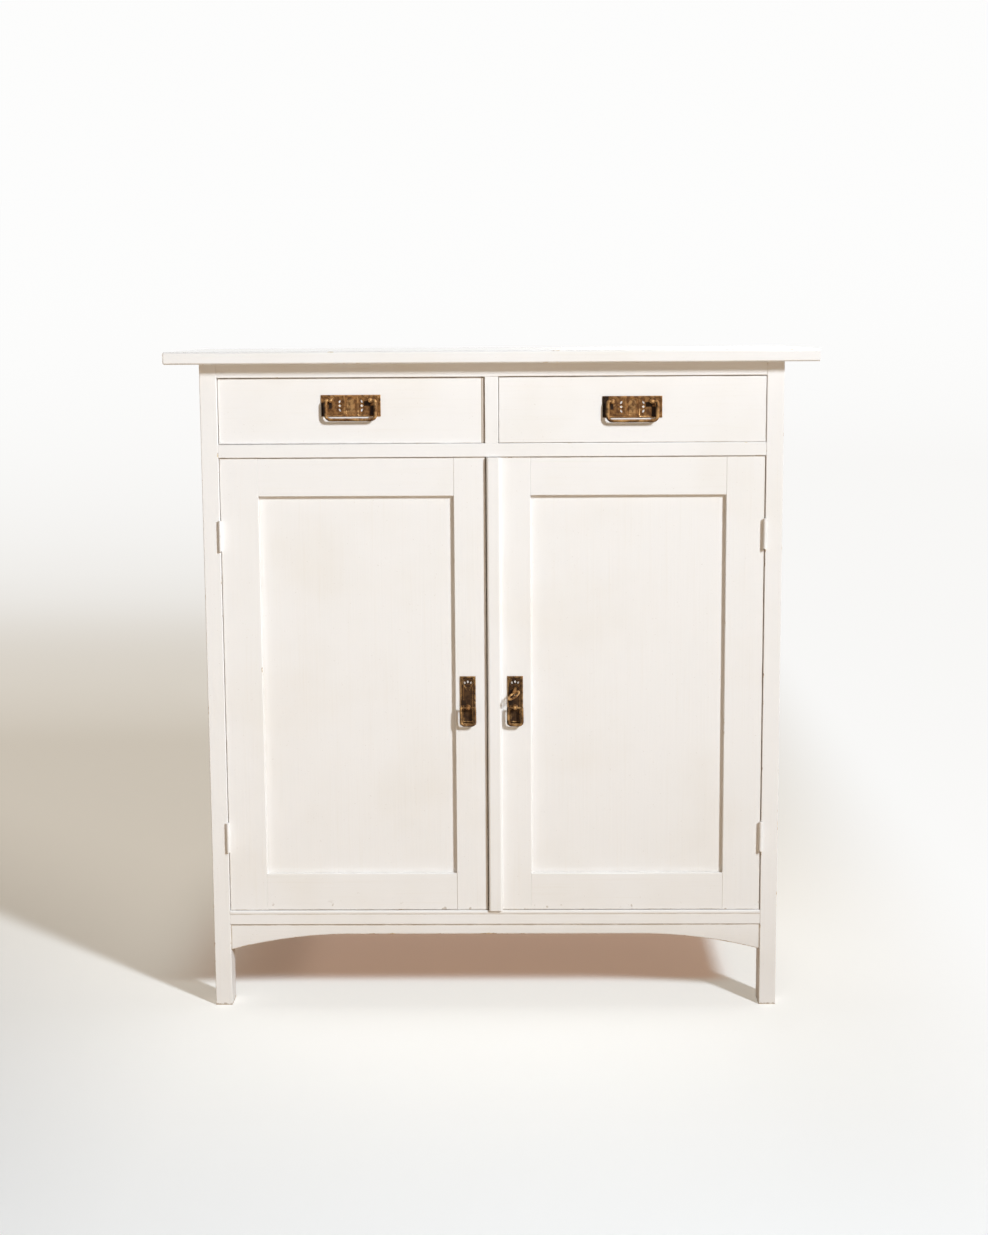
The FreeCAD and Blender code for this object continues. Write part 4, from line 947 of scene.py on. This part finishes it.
# How far out and how low the stalks start; on the right plate they start outside the keyhole.
stalk_starts = {"left": (0.0022, (0.0195, 0.0235)), "right": (0.0045, (0.0182, 0.0215))}
door_pins_reach, door_pins_inset, door_pins_radius = 0.0092, 0.0042, 0.0013
for side in ("left", "right"):
    body = side + "_door"
    low, high = np.array(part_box(side + "_door_plate"))
    wood = high[1]
    face = low[1]
    x = (low[0] + high[0]) / 2
    # Painted shadows: a dark box at the left over the drop, where its post casts shade, and on the
    # right plate also one by the keyhole, for the key's shade.
    grime = [((x - 0.0074, face, high[2] - 0.0445), (0.0045, any_depth, 0.0045))]
    if side == "right":
        grime.append(((x - 0.0070, face, high[2] - 0.0262), (0.0044, any_depth, 0.0036)))
    brass_plate(side + "_door_plate", body, dark=0.5, face=face, hollow=0.8, grime=grime)
    lined_brass = aged_brass(side + "_door_lines_brass", 0.65, dark=0.45)
    post_brass = aged_brass(side + "_drop_post_brass", 0.8)
    lines = [rim_line(low, high, face)]
    inner, feet = stalk_starts[side]
    for edge in (-1, 1):
        for spread, foot in zip(stalk_spreads, feet):
            stalk = [
                (x + edge * inner, high[2] - foot), (x + edge * spread, high[2] - stalk_bend),
                (x + edge * spread, high[2] - stalk_top),
            ]
            lines.append(line(stalk, [stalk_round], face, radius=stalk_radius))
    skin(side + "_door_lines", body, "aged_brass", lined_brass, lines)
    pins_x = (x - door_pins_reach, x + door_pins_reach)
    pins_z = (low[2] + door_pins_inset, high[2] - door_pins_inset)
    pins = plate_pins(pins_x, pins_z, face, door_pins_radius)
    skin(side + "_door_plate_pins", body, "aged_brass", lined_brass, pins)
    pin_z = low[2] + drop_pin_rise
    skin(
        side + "_drop_post_turned", body, "aged_brass", post_brass, [handle_post(x, pin_z, wood)],
        replaced=[side + "_drop_post"],
    )
    pin_y = wood - drop_pin_stand
    corners = [
        (x - drop_half, pin_y, pin_z + drop_ear), (x - drop_half, pin_y, pin_z - drop_length),
        (x + drop_half, pin_y, pin_z - drop_length), (x + drop_half, pin_y, pin_z + drop_ear),
    ]
    path, loop = tapered(
        corners, [0.0055, 0.0055], 0.001,
        [0, 0.0012, 0.012, 0.03], [0.0012, 0.0021, 0.0023, 0.0025],
    )
    pin_path = np.array([(x - drop_half, pin_y, pin_z), (x + drop_half, pin_y, pin_z)])
    pin = swept(pin_path, (0, 1, 0), drop_pin_radius)
    # The left and lower sides of the loop and pin are darkened as painted shade.
    graded = np.concatenate([painted_shade_side(path, loop), painted_shade_side(pin_path, pin)])
    skin(
        side + "_drop_round", side + "_door_drop", "aged_brass",
        aged_brass(side + "_drop_brass", 0.5, dark=0.35), [loop, pin],
        replaced=[side + "_drop"], marks={"painted_shade_side": graded},
    )


# Key: a cast and filed brass key that stays in the right door's lock, with a ring bow, a stem with
# two collars and a flat bit. It stands turned, its bow rising to the right, and droops because it
# is loose in the keyhole.
key_low, key_high = np.array(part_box("key"))
key_x, key_z = 0.0365, 0.546
key_turn = np.radians(62.0)
key_droop, key_lean = np.radians([24.0, 6.0])
key_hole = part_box("right_door_plate")[0].y


def as_it_stands(grid):
    """The key's points turned about its stem (X takes X cos + Z sin, and Z takes Z cos - X sin),
    then, in front of the plate, sunk and moved left by the tangents of its droop and its lean."""
    across, up = grid[..., 0] - key_x, grid[..., 2] - key_z
    turned_x = across * np.cos(key_turn) + up * np.sin(key_turn)
    turned_z = up * np.cos(key_turn) - across * np.sin(key_turn)
    ahead = np.maximum(key_hole - grid[..., 1], 0)
    stood_x = key_x + turned_x - ahead * np.tan(key_lean)
    return np.stack([stood_x, grid[..., 1], key_z + turned_z - ahead * np.tan(key_droop)], -1)


# The bow is an oval section carried round an ellipse in the plane of Y and Z.
bow_depth, bow_height = 0.0077, 0.0092
bow_wide, bow_thick = 0.0018, 0.0014
bow_tip = key_low[1]
bow_centre = bow_tip + bow_depth + bow_wide
spin = np.linspace(0, 2 * np.pi, 49)
aside = np.array([1.0, 0, 0])
bow_y = bow_centre + bow_depth * np.cos(spin)
bow_z = key_z + bow_height * np.sin(spin)
bow_path = np.stack([np.full_like(spin, key_x), bow_y, bow_z], 1)
along = np.stack([0 * spin, -bow_depth * np.sin(spin), bow_height * np.cos(spin)], 1)
along /= np.linalg.norm(along, axis=1, keepdims=True)
outwards = np.cross(along, aside)
ring = np.linspace(0, 2 * np.pi, 12, endpoint=False)[:, None]
bow_section = bow_wide * np.cos(ring) * outwards[:, None] + bow_thick * np.sin(ring) * aside
bow = bow_path[:, None] + bow_section
# The stem's collars lie between the bow and the keyhole, and its end is chamfered.
stem_radius, stem_end, stem_chamfer = 0.0023, 0.0015, 0.0008
collar_depth, collar_radius = np.transpose([
    (0.0165, 0.0020), (0.0175, 0.0030), (0.0195, 0.0030), (0.0205, 0.0022),
    (0.0220, 0.0022), (0.0232, 0.0029), (0.0244, 0.0029), (0.0256, stem_radius),
])
stem_depth = [*(bow_tip + collar_depth), key_hole, key_high[1] - stem_chamfer, key_high[1]]
stem_radii = [*collar_radius, stem_radius, stem_radius, stem_end]
stem = turned((key_x, key_z), stem_depth, stem_radii)
# The bit hangs from the stem inside the lock's case.
bit_length, bit_thick, bit_deep = 0.0109, 0.0012, 0.0034
bit_y = np.array(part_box("lock_case"))[:, 1].mean()
bit_path = np.array([(key_x, bit_y, key_z), (key_x, bit_y, key_z - bit_length)])
bit_section = np.array([(-1, -1, 0), (1, -1, 0), (1, 1, 0), (-1, 1, 0)])
bit = bit_path[:, None] + bit_section * (bit_thick, bit_deep, 0)
key_brass = aged_brass("key_golden_brass", 1.0)
stood = [as_it_stands(grid) for grid in (bow, stem, bit)]
skin("key_cast", "door_key", "key_brass", key_brass, stood, replaced=["key"])


# Lock and bolts: a folded steel lock behind the right door with its bolt, and a flat steel bolt in
# a guide behind the left door, each held by four slotted screws. Grey steel, darkened and stained.
STEEL = (0.30, 0.29, 0.28, 1)
DARK_STEEL = (0.12, 0.105, 0.095, 1)
SLOT_SHADE = (0.02, 0.017, 0.015, 1)


def old_steel(tree):
    """Grey steel with dark stains and fine scratches."""
    place = where(tree)
    stains = patches(place, 55.0, 5.0)
    scratches = patches(shift("MULTIPLY", place, (60.0, 60.0, 900.0)), 1.0, 2.0)
    return {
        "Colour": tint(fade(stains, 0.38, 0.66), STEEL, DARK_STEEL),
        "Roughness": fade(stains, 0.3, 0.7, 0.32, 0.6),
        "Height": scratches,
    }


steel = finish("lock_old_steel", old_steel, strength=0.15, distance=0.0003, Metallic=1.0)
for node, body in (
    ("lock_case", "right_door"), ("lock_bolt", "door_lock_bolt"),
    ("left_bolt_guide", "left_door"), ("left_door_bolt", "left_bolt"),
):
    eased(node, body, [steel], width=0.0004, shortest=0.003)


def slotted(tree):
    """Old steel with a slot sawn across each head: only a bump, its inside painted near black as
    shade.
    """
    slot = fade(reckon("ABSOLUTE", mark(tree, "slot")), 0.24, 0.16)
    look = old_steel(tree)
    look["Colour"] = tint(slot, look["Colour"], SLOT_SHADE)
    look["Height"] = reckon("SUBTRACT", 1.0, slot)
    return look


screw_steel = finish("screw_old_steel", slotted, strength=0.5, distance=0.0005, Metallic=1.0)


def screws(name, body, node, face, aside, apart, radius, crown=0.3):
    """Four round heads about the middle of a plate, crowned by a share of their radius, with each
    slot turned another way; a point's mark is its share of the radius off the slot's line."""
    low, high = np.array(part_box(node))
    middle = (low + high) / 2
    places = [(aside, apart), (-aside, apart), (aside, -apart), (-aside, -apart)]
    heads = []
    slots = []
    for (x, z), turn in zip(places, 0.7 + 1.9 * np.arange(4)):
        centre = (middle[0] + x, face, middle[2] + z)
        heads.append(dome(centre, (0, 1, 0), radius, crown * radius))
        slots.append((heads[-1] - centre) @ (np.cos(turn), 0, np.sin(turn)) / radius)
    skin(name, body, "lock_steel", screw_steel, heads, marks={"slot": np.array(slots)})


guide_plate = 0.0015
lock_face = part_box("lock_case")[1].y
guide_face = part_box("left_bolt_guide")[0].y + guide_plate
screws("lock_screws", "right_door", "lock_case", lock_face, 0.0265, 0.017, 0.0027)
screws("bolt_screws", "left_door", "left_bolt_guide", guide_face, 0.0094, 0.018, 0.0020)


# Top: one wide pine board with rounded arrises that overhangs the case, painted last and rubbed
# along its front edge. Dusting has made it glossier than the rest.
top_gloss = {"Coat Weight": 0.9, "Coat Roughness": 0.12}
paint_board(
    "top_board", "case", 0, label="top", width=0.0005, amount=0.44, reach=0.006, **top_gloss
)


# Studio: a seamless pale paper sweep that lies on the floor and rises behind the cupboard, a lamp
# from the front right, soft light from all round, and the camera where the photograph was taken.
# The sweep's section is level, then a quarter circle, then upright.
sweep_start, sweep_back, sweep_round, sweep_top = -4.6, 7.0, 2.5, 6.0
sweep_half = 15.0
curve = np.linspace(0, np.pi / 2, 13)
sweep_bend = sweep_back - sweep_round + sweep_round * np.sin(curve)
sweep_y = np.concatenate([[sweep_start], sweep_bend, [sweep_back]])
sweep_z = np.concatenate([[0], sweep_round * (1 - np.cos(curve)), [sweep_top]])
sweep_x = np.array([-sweep_half, sweep_half])
sweep_grid = np.stack(np.broadcast_arrays(sweep_x[:, None], sweep_y, sweep_z), -1)
index = np.arange(sweep_grid[..., 0].size).reshape(2, -1)
sweep_faces = np.stack([index[0, :-1], index[1, :-1], index[1, 1:], index[0, 1:]], -1)
sweep_mesh = bpy.data.meshes.new("paper_sweep")
sweep_mesh.from_pydata(sweep_grid.reshape(-1, 3).tolist(), [], sweep_faces.tolist())
sweep_mesh.polygons.foreach_set("use_smooth", np.ones(len(sweep_mesh.polygons), dtype=bool))
sweep = put("paper_sweep", sweep_mesh)


def seen_rays(tree):
    """1 where the camera sees a thing, also in metal or through glass, and 0 where it only gives
    light to other things."""
    rays = add_node(tree, "LightPath")
    seen = reckon("MAXIMUM", rays["Is Camera Ray"], rays["Is Glossy Ray"])
    return reckon("MAXIMUM", seen, rays["Is Transmission Ray"])


# The paper throws back a warmer light than the white that is seen. A glow of its own lifts its
# shadows: little on the near floor, more behind, redder under the cupboard and less in the dark
# corner at its left. The paper fades to white far behind, at the right and beyond the view.
PAPER = (0.81, 0.79, 0.765, 1)
PAPER_BOUNCE = (0.58, 0.43, 0.28, 1)
UNDER_GLOW = (0.30, 0.205, 0.155, 1)
BEHIND_GLOW = (0.38, 0.365, 0.325, 1)
WHITE_GLOW = (0.98, 0.98, 0.975, 1)
paper = bpy.data.materials.new("pale_paper")
paper.use_nodes = True
tree = paper.node_tree
tree.nodes.clear()
seen = seen_rays(tree)
aside, depth, _ = split(where(tree))
case_half = 0.475
beyond_left = reckon("MINIMUM", reckon("ADD", aside, case_half), 0.0)
lifted = fade(reckon("ADD", depth, beyond_left), -1.5, 0.6, 0.1, 1.2)
in_shadow = fade(depth, -0.11, -0.055)
under = overlap(
    fade(reckon("ABSOLUTE", aside), 0.62, 0.42),
    fade(aside, 0.435, 0.37), in_shadow, fade(depth, 0.5, 0.2),
)
corner = overlap(
    fade(aside, -0.28, -0.42), fade(aside, -0.75, -0.42),
    fade(depth, 1.1, 0.4), in_shadow,
)
lifted = overlap(lifted, fade(corner, 0.0, 1.0, 1.0, 0.7))
glow_colour = tint(under, BEHIND_GLOW, UNDER_GLOW)
lift = add_node(tree, "Emission", {"Color": glow_colour, "Strength": lifted})["Emission"]
pale = add_node(tree, "BsdfDiffuse", {"Color": PAPER})["BSDF"]
pale = add_node(tree, "AddShader", {0: pale, 1: lift})[0]
bounce = add_node(tree, "BsdfDiffuse", {"Color": PAPER_BOUNCE})["BSDF"]
matt = add_node(tree, "MixShader", {0: seen, 1: bounce, 2: pale})[0]
far = reckon("MAXIMUM", fade(depth, 2.3, 6.9), fade(aside, 0.45, 1.0, 0.0, 0.9))
beyond = reckon("MAXIMUM", fade(aside, -2.7, -6.0), fade(depth, -2.2, -4.4))
far = overlap(seen, reckon("MAXIMUM", far, beyond))
white = add_node(tree, "Emission", {"Color": WHITE_GLOW})["Emission"]
either = add_node(tree, "MixShader", {0: far, 1: matt, 2: white})[0]
add_node(tree, "OutputMaterial", {"Surface": either})
sweep_mesh.materials.append(paper)

# Soft warm light comes from all round, where the camera sees plain white.
SOFT_LIGHT = (1.0, 0.75, 0.51, 1)
world = bpy.data.worlds.new("studio")
bpy.context.scene.world = world
world.use_nodes = True
tree = world.node_tree
tree.nodes.clear()
soft = add_node(tree, "Background", {"Color": SOFT_LIGHT, "Strength": 0.18})["Background"]
pale = add_node(tree, "Background", {"Color": (1, 1, 1, 1), "Strength": 1.0})["Background"]
either = add_node(tree, "MixShader", {0: seen_rays(tree), 1: soft, 2: pale})[0]
add_node(tree, "OutputWorld", {"Surface": either})


def stand_at(thing, sideways, up, back, place):
    """Sets a lamp or the camera at a place, with its own X, Y and Z along three directions."""
    rows = np.stack([sideways, up, back, place], axis=1).tolist()
    thing.matrix_world = Matrix(rows + [[0, 0, 0, 1]])


def studio_lamp(name, place, comes_from, width, height, watts, colour, lights=None):
    """A rectangular lamp at a place, whose light comes from a direction; it can be kept to a group
    of pieces."""
    data = bpy.data.lights.new(name, "AREA")
    data.shape = "RECTANGLE"
    data.size = width
    data.size_y = height
    data.energy = watts
    data.color = colour
    back = np.array(comes_from) / np.linalg.norm(comes_from)
    sideways = np.cross((0, 0, 1.0), back)
    sideways /= np.linalg.norm(sideways)
    lamp = put(name, data)
    stand_at(lamp, sideways, np.cross(back, sideways), back, place)
    if lights:
        lamp.light_linking.receiver_collection = lights


DAY_LIGHT = (0.82, 0.91, 1.0)
FILL_LIGHT = (1.0, 0.96, 0.9)
lit_pieces = bpy.data.collections.new("lit_pieces")
for piece in bpy.data.objects:
    if piece.type == "MESH" and piece is not sweep:
        lit_pieces.objects.link(piece)
studio_lamp(
    "front_right_lamp", (2.62, -3.44, 2.97), (0.95, 0.22, 0.28), 0.62, 0.87, 506.0, DAY_LIGHT
)
# Three weak lamps light only the cupboard: its back and top, its left side, and its left legs.
for name, place, comes_from, width, height, watts in (
    ("back_fill", (1.0, 3.0, 2.7), (1.0, 3.0, 2.1), 1.6, 1.6, 60.0),
    ("left_fill", (-3.0, 1.0, 1.6), (-3.0, 1.0, 1.0), 1.6, 1.6, 32.0),
    ("low_fill", (-1.1, -1.4, 0.2), (-0.6, -1.2, 0.05), 0.6, 0.4, 1.7),
):
    studio_lamp(name, place, comes_from, width, height, watts, FILL_LIGHT, lit_pieces)

# The camera looks a little down. Its place and turns are fitted to the corners of the front.
yaw, pitch, roll = np.radians([-0.796, 8.346, -0.347])
forward = np.array([np.sin(yaw) * np.cos(pitch), np.cos(yaw) * np.cos(pitch), -np.sin(pitch)])
level = np.array([np.cos(yaw), -np.sin(yaw), 0.0])
upright = np.cross(level, forward)
right_hand = np.cos(roll) * level + np.sin(roll) * upright
overhead = np.cos(roll) * upright - np.sin(roll) * level
camera_data = bpy.data.cameras.new("photo_camera")
camera_data.sensor_width = 36.0
camera_data.lens = 57.72
camera = put("photo_camera", camera_data)
stand_at(camera, right_hand, overhead, -forward, (0.047, -3.4441, 1.1392))
bpy.context.scene.camera = camera
bpy.context.scene.view_settings.view_transform = "Standard"
